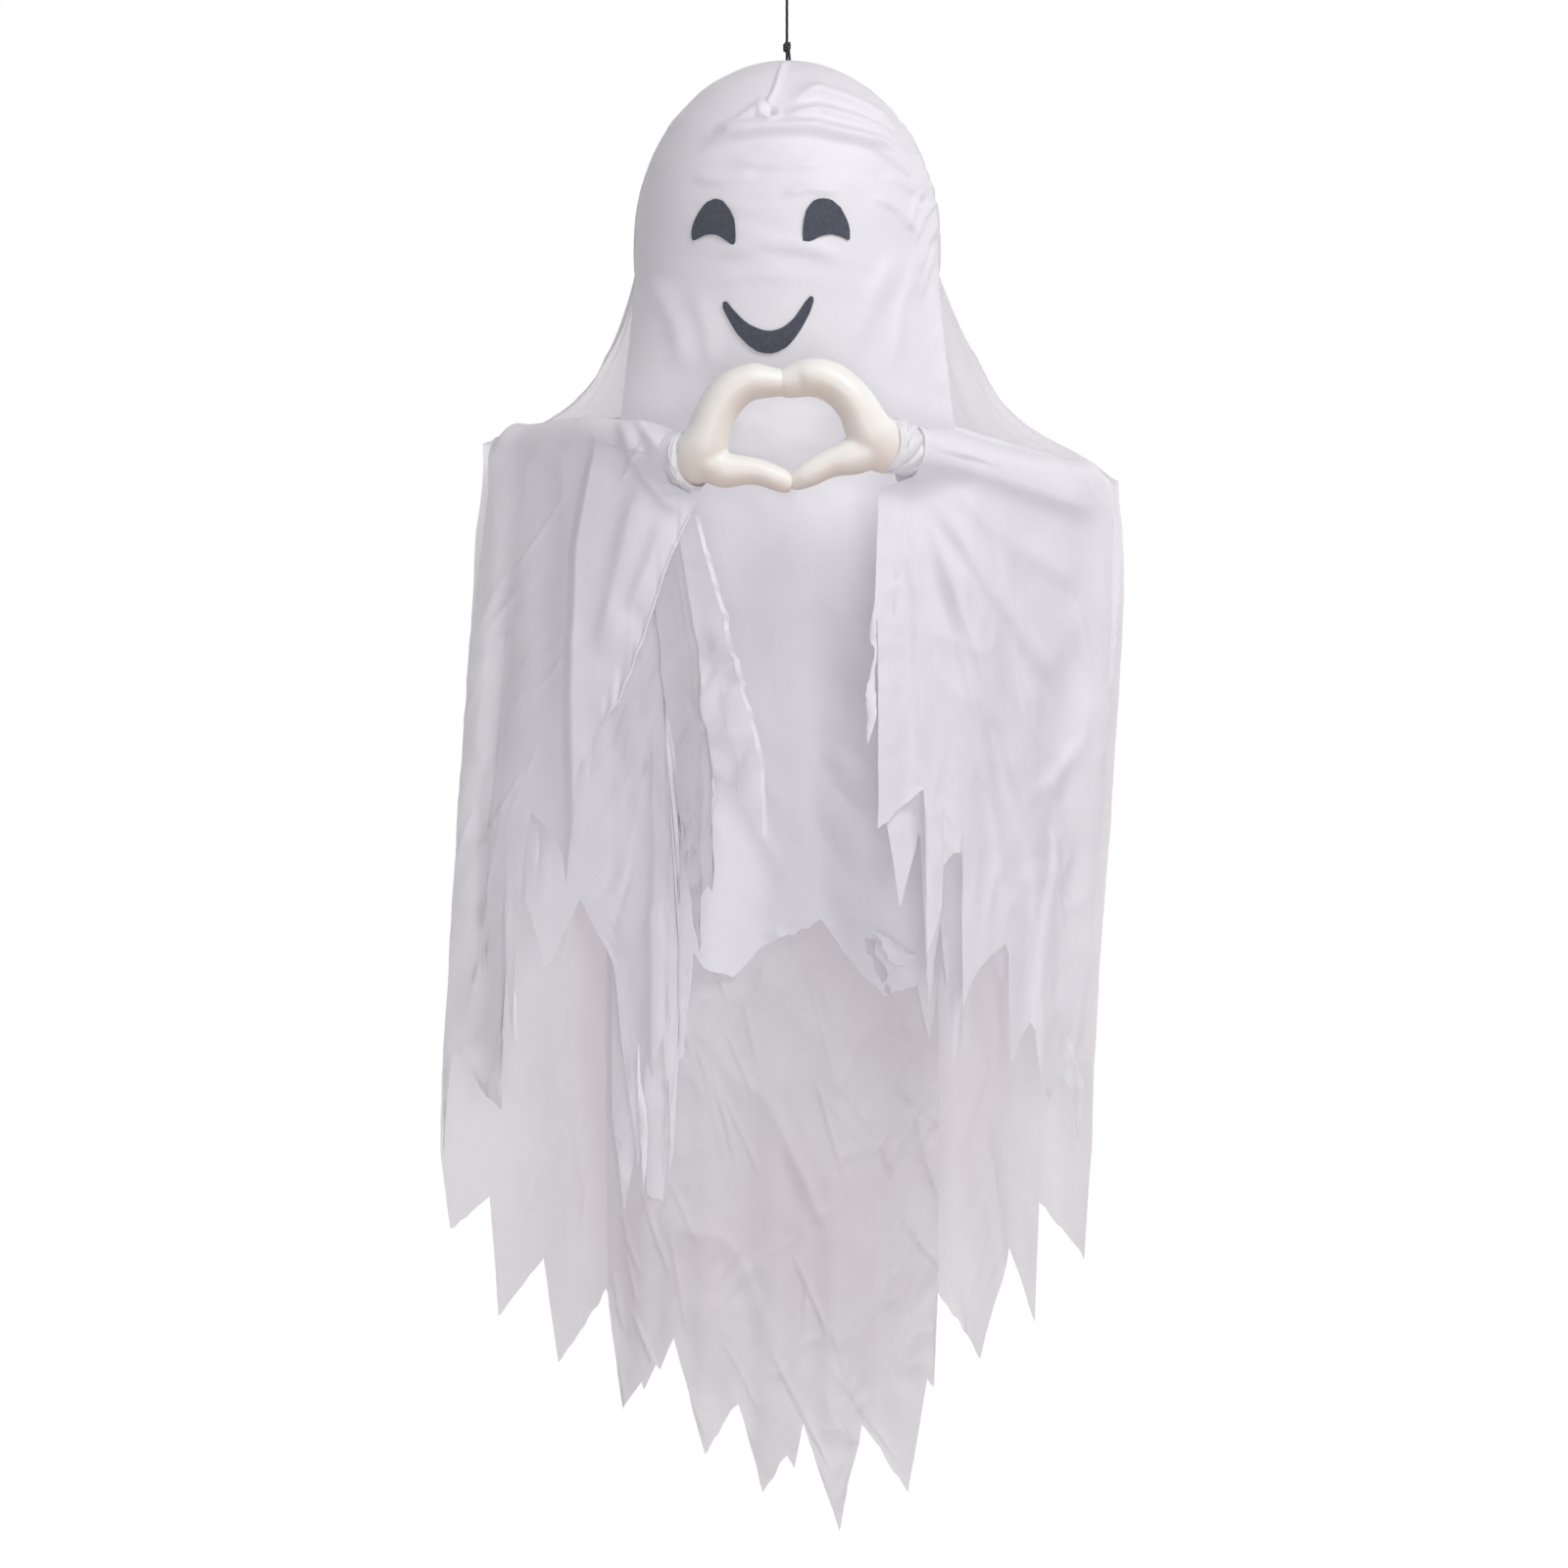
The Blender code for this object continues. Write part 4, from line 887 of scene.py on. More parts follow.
# The left sleeve's front laps over itself on this line: across, below the neck
LAP_LINE = np.array(((-153, 28), (-160, 60), (-169, 109), (-173, 216), (-171, 374)), float)


def between(at, places, points):
    """The points at in-between places of a run of points."""
    return np.stack([np.interp(at, places, points[:, k]) for k in range(3)], -1)


def forearm_run(word):
    """The forearm's middle line from the elbow to the gathered wrist, its bend rounded."""
    elbow, fore, wrist = np.array(FOREARMS[word]) * MM + (0, 0, NECK)
    first, last = unit(fore - elbow), unit(wrist - fore)
    t = np.linspace(0, 1, 9)[:, None]
    start, end = fore - first * ARM_EASE, fore + last * ARM_EASE
    bend = start * (1 - t) ** 2 + fore * 2 * t * (1 - t) + end * t**2
    close = wrist - last * CUFF_LAP
    return np.vstack([elbow + first * SLEEVE_FROM_ELBOW, bend, close]), wrist, last


def sleeve_grid(side, word, along, down):
    """The sleeve's points: down runs from the back hem over the arm to the front hem.

    Over the arm it is half a turn at the arm's radius, (r sin a, r cos a). Below, each
    line of the cloth goes from the arm's side to its own place on the hem, with folds
    that grow downwards, and near the wrist the two falls are drawn together. Also gives
    how far each point is below the arm, which of them are on the front fall, and the way
    that wrinkles move each point.
    """
    run, _, _ = forearm_run(word)
    reach = distances(run)
    front_hem, back_hem = (np.array(t[word], float) for t in (FRONT_HEMS, BACK_HEMS))
    share = along / along.max()
    at = share * reach[-1]
    # The forearm's middle line, and the way out from it, at each line of the cloth
    here = between(at, reach, run)
    here = here - np.array((0, 0, ELBOW_DROP)) * (1 - eased(14 * share))[..., None]
    heading = between(at, reach, unit(np.gradient(run, reach, axis=0)))
    outward = unit(np.stack([heading[..., 1], -heading[..., 0], 0 * at], -1)) * -side
    clear = ARM_D / 2 + SLEEVE_GAP + ELBOW_EASE * (1 - eased(6 * share))
    # Over the arm: the turn, then pleats at the wrist and a soft bulge before them
    over = 2 * down - 1
    front = over > 0
    amount = np.abs(over) * np.where(front, 1, mixed(0.12, 1, eased(3 * share)))
    turn = pi / 2 * np.minimum(amount / TURN_SHARE, 1)
    drawn_in = eased(4.5 * share - 3.5)
    pleat = np.sin(over * 24 + 2 * np.sin(5 * share)) + 0.5 * np.sin(over * 41 + 9 * share)
    bulge = SOFT_BULGE * eased(4 * share - 2.4) * (1 - drawn_in)
    lap = clear + GATHER_PLEAT * drawn_in * pleat + bulge
    # The falls: the level of each row between the arm's side and the torn hem
    front_out = front_hem[0, 0] - along
    front_z = np.interp(along, front_hem[0, 0] - front_hem[:, 0], front_hem[:, 1])
    back_out = np.interp(share, back_hem[:, 0], back_hem[:, 1])
    back_z = np.interp(share, back_hem[:, 0], back_hem[:, 2])
    torn = 1.2 * crumple(along, 0 * along, 5, 21 + side)
    fall = np.clip((amount - TURN_SHARE) / (1 - TURN_SHARE), 0, 1)
    drop = np.clip((fall - 0.1) / 0.9, 0, 1)
    centre_z = here[..., 2]
    top = (NECK - centre_z + clear) / MM
    front_rows, way = rows_to(front_z + torn, along, top, drop)
    back_rows, _ = rows_to(back_z + torn, along, top, drop)
    z = NECK - np.where(front, front_rows, back_rows) * MM
    z = np.where(fall < 0.1, mixed(centre_z, centre_z - clear, fall * 10), z)
    below = (centre_z - z) / FALL
    # How far each row hangs out of the arm's line, with its soft folds and curled tips
    pinch = eased(5 * share - 3.6) * eased(below * 8)
    folds = SLEEVE_FOLD * eased(below * 1.5)
    wave = np.sin(0.062 * along + 1.5 * below + 0.8)
    wave = wave + 0.5 * np.sin(0.125 * along - below + 1)
    away = clear * (1 - 0.85 * pinch) + folds * wave + SWING * eased(below)
    back_away = clear * (1 - 0.7 * pinch) - folds * 0.6 * wave
    away = np.where(front, away, -back_away)
    curl = crumple(along, 0 * along, 17, 27 + side) * eased(4 * drop - 3)
    out = np.where(
        amount < TURN_SHARE, lap * np.sin(turn) * np.sign(over), away + HEM_CURL * curl
    )
    placed = here + outward * out[..., None]
    # Each line of the cloth drifts sideways to its own place on the hem
    hem_x = side * np.where(front, front_out, back_out) * MM
    at_once = front * (side > 0) * eased(5 * share - 4)
    quick = eased((7 + 12 * eased(8 * share - 7)) * way)
    placed[..., 0] = mixed(placed[..., 0], hem_x, mixed(way, quick, at_once))
    placed[..., 2] = np.where(amount < TURN_SHARE, centre_z + lap * np.cos(turn), z)
    if side < 0:
        # The front laps over itself, and the back fall's inner end hangs further forward
        x, depth = placed[..., 0] / MM, (NECK - placed[..., 2]) / MM
        past = x - np.interp(depth, LAP_LINE[:, 1], LAP_LINE[:, 0])
        lapped = eased((past + 3) / 7) * eased((depth - 14) / 46) * front
        flat = -FLAP_AHEAD - FLAP_TURN * np.clip(x + 171, 0, 110) * MM
        placed[..., 1] = mixed(placed[..., 1], np.minimum(placed[..., 1], flat), lapped)
        second = eased((share - 0.5) / 0.42) * ~front * bell((depth - 270) / 220)
        placed[..., 1] -= SECOND_FLAP_AHEAD * second * eased((depth - 60) / 60)
    sideways = np.where(front[..., None], unit(outward + (0, -0.8, 0)), -outward)
    upward = np.stack([0 * turn, 0 * turn, np.cos(turn)], -1)
    return placed, below, front, unit(sideways * np.sin(turn)[..., None] + upward)


# Folds drawn on the front falls: the line across and below the crown, its width, its
# height, and the width of its steep side
SLEEVE_FOLDS = {
    "left": (
        (((-232, 350), (-229, 390), (-233, 430), (-245, 545), (-246, 600)), 26, 3, 9),
        (((-236, 560), (-238, 690), (-226, 756)), 22, 3, 8),
        (((-268, 800), (-250, 820), (-228, 848)), 12, 4, 4),
        (((-196, 350), (-206, 470), (-200, 600)), 26, 3, 20),
        (((-122, 300), (-104, 326), (-84, 352), (-72, 366)), 7, 5, 5),
        (((-132, 300), (-118, 340), (-92, 372), (-74, 382)), 9, 5, 5),
        (((-106, 345), (-122, 400), (-146, 500)), 18, 6, 10),
        (((-90, 378), (-104, 420), (-122, 462)), 11, 4, 7),
    ),
    "right": (
        (((98, 356), (116, 408), (151, 506), (193, 627), (202, 739)), 15, 9, 6),
        (((104, 356), (151, 430), (224, 529)), 14, 7, 6),
        (((96, 366), (100, 469), (106, 600)), 9, 5, 5),
        (((90, 338), (151, 348), (262, 376)), 24, 9, 9),
        (((112, 356), (190, 410), (250, 440)), 14, 4, 9),
        (((215, 600), (212, 665), (205, 711), (202, 760), (206, 830)), 11, 5, 5),
        (((130, 470), (140, 560), (150, 680)), 16, 4, 12),
        (((246, 430), (222, 480), (190, 506)), 14, 2.4, 12),
        (((240, 550), (210, 590), (180, 604)), 10, 3.5, 5),
        (((160, 380), (172, 440), (204, 560)), 8, 3.5, 4),
        (((124, 440), (150, 560), (176, 700)), 8, 4, 4),
    ),
}
sleeves = {}
for side, word in ((-1, "left"), (1, "right")):
    front_hem = np.array(FRONT_HEMS[word], float)
    cut = np.stack([front_hem[0, 0] - front_hem[:, 0], front_hem[:, 1]], -1)
    along = columns_of(cut, 1.5)[:, None]
    down = np.linspace(0, 1, SLEEVE_ROWS)[None]
    grid, below, front, forward = sleeve_grid(side, word, along, down)
    seen_x, seen_z = seen_place(grid)
    wrinkles = sum(fold(seen_x, seen_z, *drawn) for drawn in SLEEVE_FOLDS[word])
    wrinkles = wrinkles * (down > 0.53) * eased(below * 10 + 1.2)
    slant = seen_x - side * 0.25 * seen_z
    wrinkles += 1.4 * eased(below * 4) * crumple(slant, seen_z * 0.6, 46, 31 + side)
    wrinkles += 0.6 * crumple(slant, seen_z * 0.7, 19, 34 + side)
    lower = eased(2.4 * below - 0.3)
    wrinkles += (0.8 + 1.4 * lower) * net(slant - 0.3 * seen_z, seen_z * 0.6, 30, 37 + side)
    wrinkles += (0.3 + 0.9 * lower) * net(slant + 0.4 * seen_z, seen_z * 0.6, 15, 39 + side)
    wrinkles += creases(seen_x, seen_z, 26, 44 + side, side * 0.5, 2.6, 1.7)
    near_wrist = eased((along / along.max() - 0.7) / 0.2)
    second_flap = (side < 0) * (down < 0.47) * near_wrist * lower
    wrinkles += second_flap * 3.5 * crumple(slant, seen_z, 24, 77)
    wrinkles += second_flap * 1.6 * net(slant, seen_z, 18, 78)
    # The sewn hem near the left wrist is rolled and puckered by its thread
    rolled = (grid[:, -1, 0] > -144 * MM) & (grid[:, -1, 0] < -74 * MM) & (side < 0)
    to_hem = (grid[..., 2] - grid[:, -1:, 2]) / MM * 0.45
    puckers = crumple(along, 0.3 * to_hem, 5, 71) + 0.5 * crumple(along, 0 * along, 2.6, 72)
    wrinkles += 1.6 * puckers * bell(to_hem / 9) * front * rolled[:, None]
    grid = grid + forward * (wrinkles * MM)[..., None]
    sleeve = mesh_piece(f"{word}_wide_sleeve", grid, satin, uv=cut_sizes(grid))
    trims = []
    if side < 0:
        at = np.linspace(*np.flatnonzero(rolled)[[0, -1]], 90)
        line = between(at, np.arange(len(grid)), grid[:, -1])
        thick = mixed(0.9, 1.5, (1 + crumple(at, 0 * at, 2, 73)) / 2)[None, :, None] * MM
        skin = line[None] + (rope(line, 1, 8, (0, 0.4, 1)) - line[None]) * thick
        trims.append(mesh_piece("left_rolled_hem", skin, satin, ring=True, caps=True))
        # The second flap's free edge is ruffled, with a running stitch beside it
        rows = np.flatnonzero((down[0] < 0.36) & (grid[-1, :, 2] < NECK - 84 * MM))
        at = np.linspace(rows[0], rows[-1], 420)
        edge, inner = (between(at, np.arange(SLEEVE_ROWS), grid[c]) for c in (-1, -6))
        steps = np.diff(edge, axis=0, prepend=edge[:1])
        run = np.cumsum(np.linalg.norm(steps, axis=1)) / MM
        u = np.linspace(0, 1, 9)[:, None]
        ruffle = crumple(run, 0 * run, 8, 74) * eased(run / 90)
        band = edge[None] + np.stack(
            [(4 + ruffle) * u * MM, -(0.4 + 1.8 * u * ruffle) * MM, 0 * u * run], -1
        )
        trims.append(mesh_piece("left_ruffled_edge", band, satin, uv=cut_sizes(band)))
        stitch = inner[:200] - np.array((3 * MM, 0, 0))
        stitch[:, 1] += (0.2 - 0.6 * np.sin(run[:200] * 2 * pi / 4)) * MM
        skin = rope(stitch, 0.25 * MM, 6, (0, 1, 0))
        trims.append(mesh_piece("left_running_stitch", skin, satin, ring=True, caps=True))
    for piece in (sleeve, *trims):
        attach(piece, "root")
    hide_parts(f"{word}_sleeve")
    sleeves[word] = sleeve, trims


# The cuffs. The sleeve's end is gathered in soft pleats over a band of the same cloth at
# the wrist, and tied there with a narrow white tape, close to the root of the hand.
CUFF_INNER = ARM_D / 2 + 0.6 * MM
CUFF_TWIST = {"left": 0.8, "right": 2.2}  # turn of the pleats from rim to rim, in radians
PLEAT = 0.6 * MM
TUCK = 3.4 * MM  # how far the rim goes in to the hand's root
TAPE = 1.2 * MM
TAPE_OUT = 2.9 * MM
for side, word in ((-1, "left"), (1, "right")):
    _, wrist, ahead = forearm_run(word)
    across = unit(np.cross(ahead, (0, 0, 1)))
    over = np.cross(across, ahead)
    a = np.linspace(0, 2 * pi, 240, endpoint=False)[:, None]
    back = np.linspace(0, 1, 60)[None]
    twist = a + CUFF_TWIST[word] * back
    pleats = np.sin(6 * twist + 1.6 * np.sin(2 * a + 1)) + 0.5 * np.sin(11 * twist + 2)
    tucked = TUCK * (1 - eased(back / 0.16))
    flare = (0.8 + 2.3 * (1 - back)) * MM
    r = CUFF_INNER + flare - tucked + PLEAT * pleats * eased(6 * back)
    rim = CUFF_AHEAD[word] - CUFF_SLANT[word] * np.sin(a) + 0.03 * np.sin(3 * a)
    ends = CUFF_LENGTH * rim
    centre = wrist - ahead * (CUFF_LENGTH * back - ends)[..., None]
    ring = across * np.cos(a)[..., None] + over * np.sin(a)[..., None]
    grid = centre + ring * r[..., None]
    cuff = mesh_piece(f"{word}_gathered_cuff", grid, satin, ring=True, uv=cut_sizes(grid))
    t = np.linspace(0, 2 * pi, 97)[:, None]
    reach = CUFF_LENGTH * (CUFF_AHEAD[word] - 0.22 - CUFF_SLANT[word] * np.sin(t))
    around = (across * np.cos(t) + over * np.sin(t)) * (CUFF_INNER + TAPE_OUT)
    loop_line = wrist + ahead * reach + around
    tape_skin = rope(loop_line, TAPE / 2, 8, ahead)
    tape = mesh_piece(f"{word}_wrist_tape", tape_skin, satin, ring=True)
    for piece in (cuff, tape):
        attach(piece, "root")
    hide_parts(f"{word}_cuff")
    sleeve, trims = sleeves[word]


# The torn strips. Narrow strips torn off the hems hang by their upper ends, one corner of
# the gown's hem curls forward, and a thin selvage shows beside the right elbow.
# Stations: across, below the neck, forward, half-width, and turn to the side in degrees
STRIPS = {
    "wrist_strip": (
        (70, 96, -176, 0.6, 0), (69, 150, -178, 1.2, 20), (66, 176, -179, 2.8, -20),
        (69, 190, -178, 1.6, 40), (66, 206, -178, 1.4, -10), (65, 222, -179, 4, 15),
        (65, 240, -180, 3.6, -15), (62, 262, -180, 0.3, 0),
    ),
    "curled_corner": (
        (104, 430, -88, 0.4, 20), (97, 431, -94, 4.5, 20), (90, 430, -98, 7, 10),
        (83, 424, -101, 6.5, -10), (77, 416, -103, 3, -20), (68, 410, -104, 0.4, -10),
    ),
    "left_hem_strip": (
        (-118, 500, -100, 0.5, 0), (-117, 530, -102, 1.6, 25), (-114, 560, -104, 3.4, -20),
        (-113, 590, -104, 2, 15), (-113.6, 612, -103, 0.3, 0),
    ),
    "slit_strip": (
        (-222, 440, -84, 0.5, 0), (-219, 458, -86, 2.2, 20), (-218, 478, -88, 2.6, -15),
        (-215, 500, -88, 0.3, 0),
    ),
    "elbow_selvage": (
        (266, 50, -8, 1, 0), (266, 100, -12, 6, 8), (263, 160, -14, 7, -6),
        (257, 220, -14, 7, 6), (251, 270, -13, 4, -6), (248, 296, -12, 0.4, 0),
    ),
}
TO_THE_BACK = np.array((0, 1, 0))
for name, stations in STRIPS.items():
    run = smooth_run(stations, 14)
    line = np.stack([run[:, 0], run[:, 2], NECK / MM - run[:, 1]], -1)
    along = unit(np.gradient(line, axis=0))
    turn = np.radians(run[:, 4])[:, None]
    wide = unit(np.cross(along, (0, 1, 0))) * np.cos(turn) + TO_THE_BACK * np.sin(turn)
    u = np.linspace(-1, 1, 9)[:, None, None]
    rough = 1 + 0.18 * crumple(run[:, 1], 40 * u[..., 0], 4, 81)[..., None]
    cupped = 0.18 * run[:, 3:4] * u**2 * np.cross(wide, along)
    grid = (line[None] + wide * np.abs(run[:, 3:4]) * u * rough + cupped) * MM
    strip = mesh_piece(name, grid, satin, uv=cut_sizes(grid))
    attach(strip, "root")


# The long under panel. A sheet of thin voile is sewn behind the gown's front, and hangs
# free below it in soft upright folds to the longest torn tips.
UNDER_PANEL_TOP = 150 * MM
UNDER_PANEL_FORWARD = 66 * MM
UNDER_FOLD = 6 * MM
SEWN_BEHIND = 5 * MM
HEM_AHEAD = 12 * MM  # how far the panel comes forward behind the gown's hem
UNDER_HEM = np.array((
    (-146, 705), (-132, 800), (-108, 757), (-102, 765), (-91, 738), (-66, 830),
    (-40, 790), (-18, 861), (0, 830), (6, 843), (13, 806), (42, 892), (61, 808),
    (97, 864), (113, 772), (118, 780), (122, 700),
), float)
across = columns_of(UNDER_HEM, 1.6)[:, None]
down = np.linspace(0, 1, 300)[None]
top = NECK - UNDER_PANEL_TOP
hem = frayed(across, UNDER_HEM, 41)
z = NECK - rows_to(hem, across, UNDER_PANEL_TOP / MM, down)[0] * MM
below = np.clip((top - z) / (620 * MM), 0, 1.2)
share = across / UNDER_HEM[0, 0]
wave = (
    np.sin(0.052 * across + 1.2 * below + 2)
    + 0.3 * np.sin(0.117 * across - 1.6 * below + 1)
    + 0.1 * np.sin(0.243 * across + 2.2 * below)
)
x = across * MM * mixed(0.86, 1, eased(2 * below))
sewn = gown_depth(x, z) + SEWN_BEHIND
near_hem = HEM_AHEAD * bell((z - (NECK - 450 * MM)) / (110 * MM))
free = -(UNDER_PANEL_FORWARD + near_hem) * (1 - 0.34 * share**2)
free = free + UNDER_FOLD * eased(1.6 * below - 0.5) * wave
y = mixed(sewn, free, eased(3 * below))
under_grid = points_of(x, y, z)
seen_x, seen_z = seen_place(under_grid)
wrinkles = eased(3 * below - 0.2) * (
    1.8 * crumple(seen_x - 0.12 * seen_z, seen_z * 0.3, 38, 51)
    + 0.8 * crumple(seen_x + 0.15 * seen_z, seen_z * 0.4, 16, 52)
    + 2.8 * net(seen_x - 0.4 * seen_z, seen_z * 0.45, 26, 54)
    + 1.4 * net(seen_x + 0.5 * seen_z, seen_z * 0.6, 15, 55)
    + creases(seen_x, seen_z, 60, 53, 0.4, 2.4, 2.4)
)
under_grid = pushed(under_grid, wrinkles * MM)
under = mesh_piece("long_under_panel", under_grid, voile, uv=cut_sizes(under_grid))
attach(under, "root")
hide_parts("under_panel")


# The hooded cape. One large piece of thin polyester is the back of the hood, spreads over
# the shoulders to the elbows and hangs behind the ghost to a jagged hem.
SEAM_GAP = 0.8 * MM
CAPE_SEWN = radians(100)
HOOD_SHARE = 0.36  # share of the cape's rows on the egg, and then down to the arms
SHOULDER_SHARE = 0.56
CAPE_BACK = 64 * MM
CAPE_EDGE_BACK = 12 * MM
CAPE_FOLD = 10 * MM
CAPE_BEHIND_ELBOW = 8 * MM
SHOULDER_BACK = 88 * MM
SHOULDER_DROP = 22 * MM
SHOULDER_SPREAD = 60 * MM
BACK_BULGE = 16 * MM
EDGE_DROP = 11 * MM
# Corners of the back hem: share of the way to the elbow's side, below the neck
CAPE_HEM = np.array((
    (-1.0, 600), (-0.975, 660), (-0.86, 636), (-0.835, 735), (-0.71, 685),
    (-0.665, 773), (-0.53, 716), (-0.42, 800), (-0.32, 740), (-0.2, 815), (-0.08, 760),
    (0.04, 830), (0.16, 765), (0.28, 805), (0.4, 735), (0.5, 716), (0.65, 770),
    (0.715, 705), (0.735, 675), (0.82, 738), (0.835, 638), (0.98, 684), (1.0, 590),
))
share = columns_of(CAPE_HEM, 0.006)[:, None]
down = np.linspace(0, 1, 285)[None]
side = np.where(share < 0, -1, 1)
out = np.abs(share)
angle = pi - share * (pi - FACE_SEAM - 2 * SEAM_GAP / HEAD_WIDTH)
latitude = mixed(CROWN_HOLE_D / HEAD_WIDTH, CAPE_SEWN, np.minimum(down / HOOD_SHARE, 1))
on_hood = on_head(angle, latitude)
left, right = np.array(FOREARMS["left"][0]) * MM, np.array(FOREARMS["right"][0]) * MM
elbow_x, elbow_y, elbow_z = (np.where(side < 0, left[k], right[k]) for k in range(3))
clear = ARM_D / 2 + SLEEVE_GAP
ring_x = (elbow_x + side * clear) * out
ring_y = mixed(SHOULDER_BACK, elbow_y + clear + CAPE_BEHIND_ELBOW, out**1.6)
ring_z = NECK + mixed(-SHOULDER_DROP, elbow_z + clear, out * out)
ring_z = ring_z - EDGE_DROP * eased((out - 0.93) / 0.07)
# Over the shoulders each line of the cape is a cubic between the neck's and the arms' ring
neck_ring = on_head(angle, np.full_like(share, CAPE_SEWN))
arm_ring = points_of(ring_x, ring_y, ring_z)
fullness = np.where(side < 0, 20 * MM, 42 * MM)
rise = np.where(side < 0, 10 * MM, 28 * MM)
drop = (neck_ring[..., 2] - arm_ring[..., 2]) * 0.7
first_pull = points_of(-side * fullness * out, 0, drop)
second_pull = points_of(
    side * SHOULDER_SPREAD * out**2, 0, -rise * out - BACK_BULGE * (1 - out)
)
t = np.clip((down - HOOD_SHARE) / (SHOULDER_SHARE - HOOD_SHARE), 0, 1)[..., None]
on_shoulder = (
    neck_ring * (1 - t) ** 3
    + (neck_ring - first_pull) * 3 * t * (1 - t) ** 2
    + (arm_ring - second_pull) * 3 * t**2 * (1 - t)
    + arm_ring * t**3
)
t = np.clip((down - SHOULDER_SHARE) / (1 - SHOULDER_SHARE), 0, 1)
wander = 1.6 * crumple(share * 280, share * 0, 5, 61)
hem = np.interp(share, CAPE_HEM[:, 0], CAPE_HEM[:, 1]) + wander
z = NECK - rows_to(hem, share * 280, (NECK - ring_z) / MM, t)[0] * MM
below = (ring_z - z) / (2 * FALL)
foot = side * out * np.where(side < 0, 285 * MM, 250 * MM)
wave = np.sin(13 * share + 1.2 * below) + 0.5 * np.sin(23 * share - 2 * below + 2)
folds = CAPE_FOLD * eased(below * 1.3) * (1 - out**6) * wave
hanging = points_of(
    mixed(ring_x + side * SWING * out * eased(t * 8), foot, eased(below)),
    mixed(ring_y, mixed(CAPE_BACK, CAPE_EDGE_BACK, out**2), eased(1.5 * below)) + folds,
    z,
)
cape_grid = np.where(
    (down < HOOD_SHARE)[..., None],
    on_hood,
    np.where((down < SHOULDER_SHARE)[..., None], on_shoulder, hanging),
)
seen_x, seen_z = seen_place(cape_grid)
edge_run = seen_z + 0.5 * np.abs(seen_x)
edge_band = eased((out - 0.9) / 0.05) * eased((1 - out) / 0.02) * (down < HOOD_SHARE)
gathers = crumple(edge_run, out * 20, 6, 62) + 0.6 * crumple(edge_run, out * 20, 3.4, 65)
wrinkles = np.where(side > 0, 1, 0.2) * (0.6 + gathers) * edge_band * eased(seen_z / 60)
on_back = eased((down - HOOD_SHARE) / 0.08)
lengthwise = share * 330
wrinkles += on_back * 2.4 * crumple(lengthwise, seen_z * 0.16, 34, 63)
wrinkles += on_back * 1.0 * crumple(lengthwise + 0.2 * seen_z, seen_z * 0.3, 15, 64)
wrinkles += on_back * 2.4 * net(lengthwise - 0.2 * seen_z, seen_z * 0.4, 28, 68)
wrinkles += on_back * 1.2 * net(lengthwise + 0.4 * seen_z, seen_z * 0.6, 15, 69)
wrinkles += on_back * creases(seen_x, seen_z, 44, 66, 0.2, 2.6, 2)
shoulder = eased((out - 0.3) / 0.3) * eased((0.97 - out) / 0.06)
shoulder = shoulder * eased((down - HOOD_SHARE + 0.05) / 0.1)
shoulder = shoulder * eased((SHOULDER_SHARE + 0.03 - down) / 0.06)
wrinkles += 3.2 * shoulder * crumple(out * 190, down * 2.2, 11, 67)
wrinkles *= eased(seen_z / 10)
cape_grid = pushed(cape_grid, wrinkles * MM)
cape = mesh_piece("long_hooded_cape", cape_grid, voile, uv=cut_sizes(cape_grid))
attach(cape, "root")
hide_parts("hooded_cape")


# The studio. A pale floor well below the hanging ghost, one soft lamp high at the right in
# front, one level in front, a small one behind at the right, and even light all round.
FLOOR = -1.9
FLOOR_GLOW = 0.66
ROOM_LIGHT = 0.38


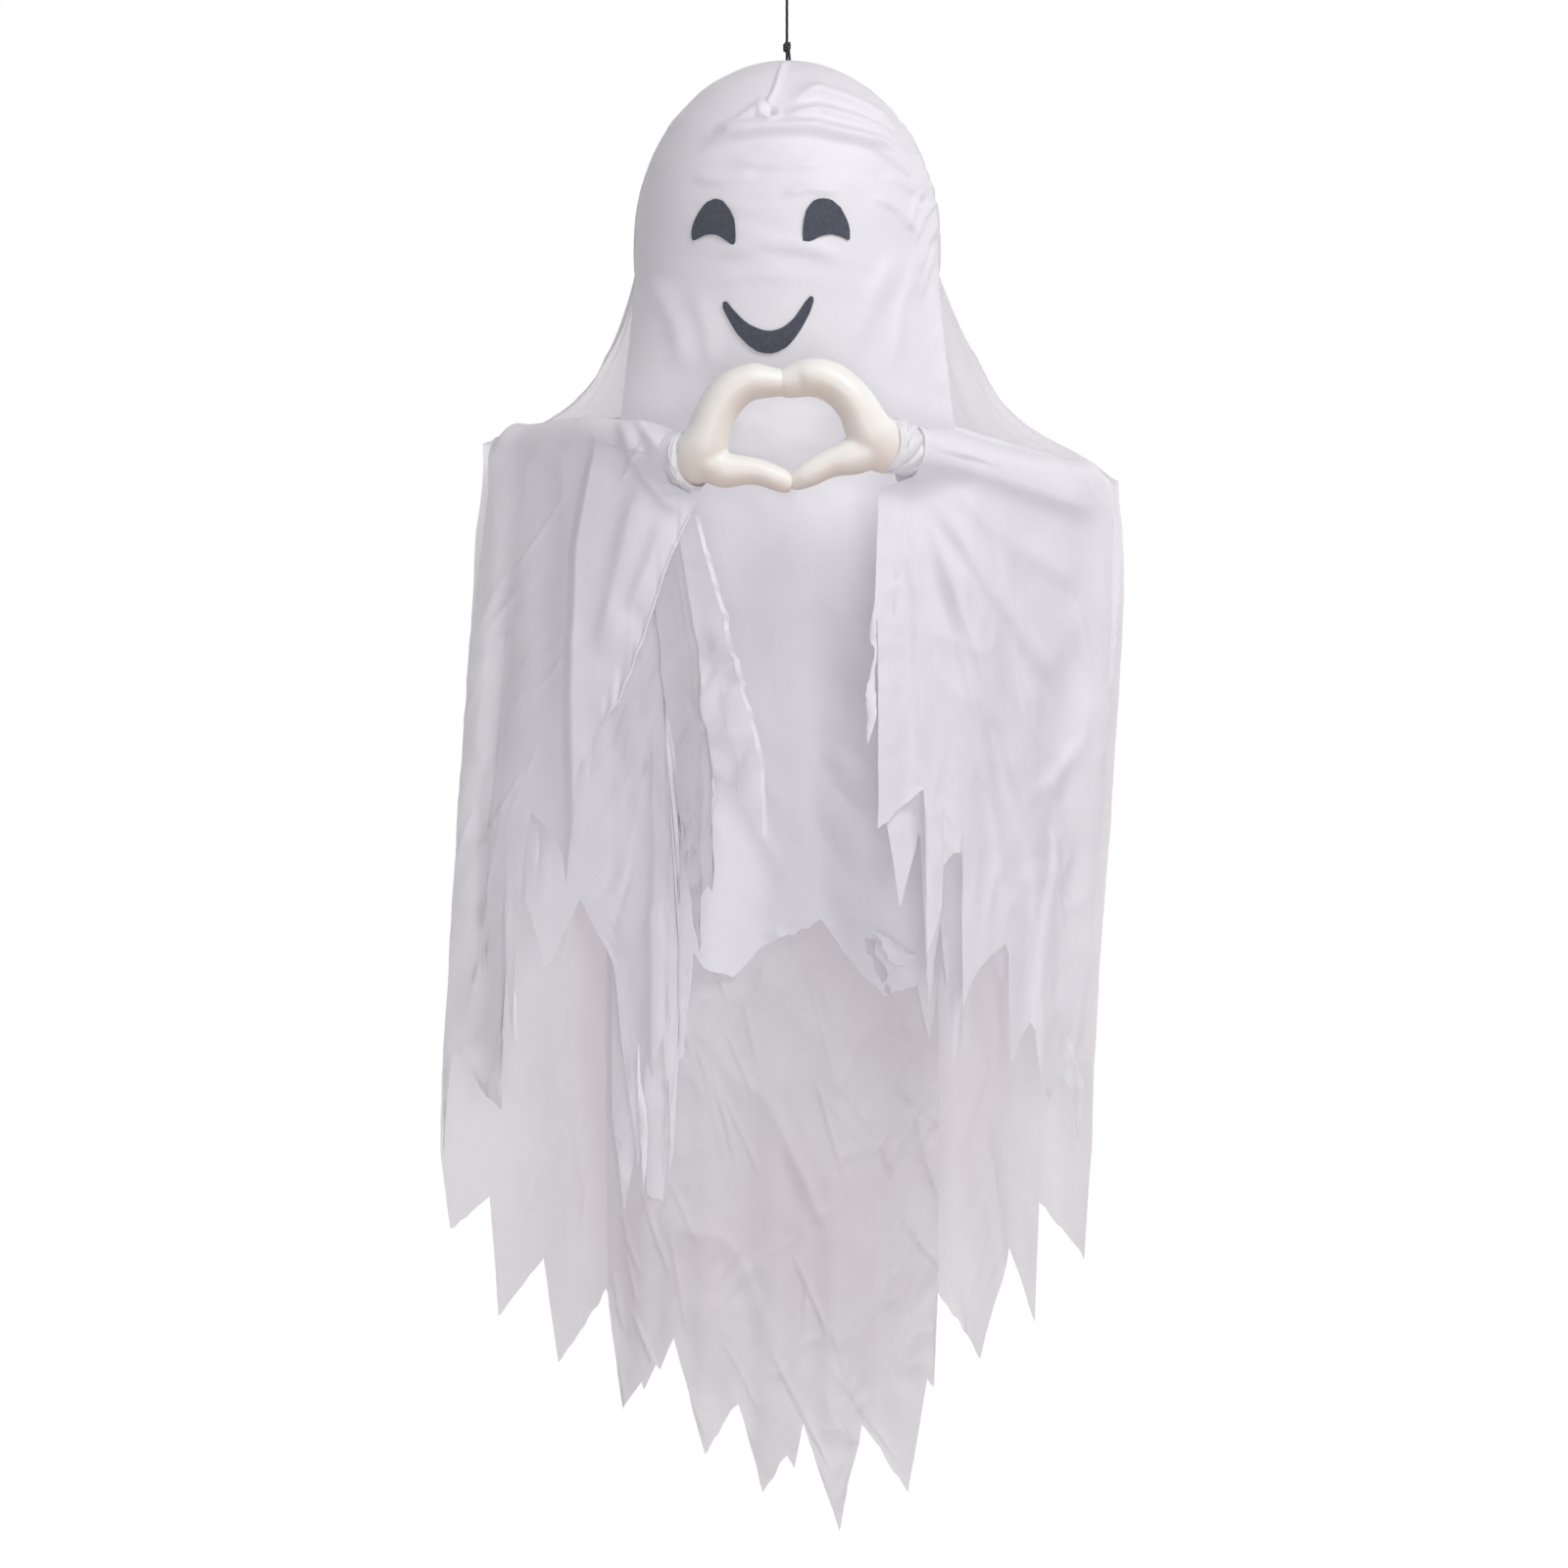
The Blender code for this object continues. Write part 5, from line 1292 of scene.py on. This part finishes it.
def seen_directly(nodes, links):
    """1 for the rays that come from the camera, a mirror or a clear surface, else 0."""
    path = nodes.new("ShaderNodeLightPath")
    value = path.outputs["Is Camera Ray"]
    for kind in ("Is Glossy Ray", "Is Transmission Ray"):
        either = nodes.new("ShaderNodeMath")
        either.operation = "MAXIMUM"
        links.new(value, either.inputs[0])
        links.new(path.outputs[kind], either.inputs[1])
        value = either.outputs[0]
    return value


floor_finish, nodes, links, shader = shader_of("pale_floor")
shader.inputs["Base Color"].default_value = (0.82, 0.82, 0.84, 1)
shader.inputs["Roughness"].default_value = 0.9
scaled = nodes.new("ShaderNodeMath")
scaled.operation = "MULTIPLY"
scaled.inputs[1].default_value = FLOOR_GLOW
links.new(seen_directly(nodes, links), scaled.inputs[0])
links.new(scaled.outputs[0], shader.inputs["Emission Strength"])
shader.inputs["Emission Color"].default_value = (1, 1, 1, 1)
places = np.linspace(-6, 6, 13)
floor_grid = np.stack(np.meshgrid(places, places, [FLOOR], indexing="ij"), -1)[:, :, 0]
floor = mesh_piece("floor", floor_grid, floor_finish)

world = bpy.data.worlds.new("soft_room")
world.use_nodes = True
nodes, links = world.node_tree.nodes, world.node_tree.links
room = nodes["Background"]
room.inputs["Color"].default_value = (0.99, 0.965, 1.0, 1)
room.inputs["Strength"].default_value = ROOM_LIGHT
backdrop = nodes.new("ShaderNodeBackground")
backdrop.inputs["Color"].default_value = (1, 1, 1, 1)
choice = nodes.new("ShaderNodeMixShader")
links.new(seen_directly(nodes, links), choice.inputs["Fac"])
links.new(room.outputs["Background"], choice.inputs[1])
links.new(backdrop.outputs["Background"], choice.inputs[2])
links.new(choice.outputs["Shader"], nodes["World Output"].inputs["Surface"])
bpy.context.scene.world = world
bpy.context.scene.view_settings.view_transform = "Standard"

for name, place, turn, size, power in (
    ("key_lamp", (0.85, -1.25, 0.75), (radians(51), 0, radians(34)), 0.8, 15.5),
    ("front_lamp", (0.15, -2.4, -0.85), (radians(95), 0, radians(3)), 0.8, 13),
    ("rim_lamp", (1.3, 0.8, 0.1), (radians(72), 0, radians(125)), 0.5, 3.5),
):
    lamp = bpy.data.lights.new(name, "AREA")
    lamp.size = size
    lamp.energy = power
    holder = bpy.data.objects.new(name, lamp)
    holder.location = place
    holder.rotation_euler = turn
    bpy.context.scene.collection.objects.link(holder)
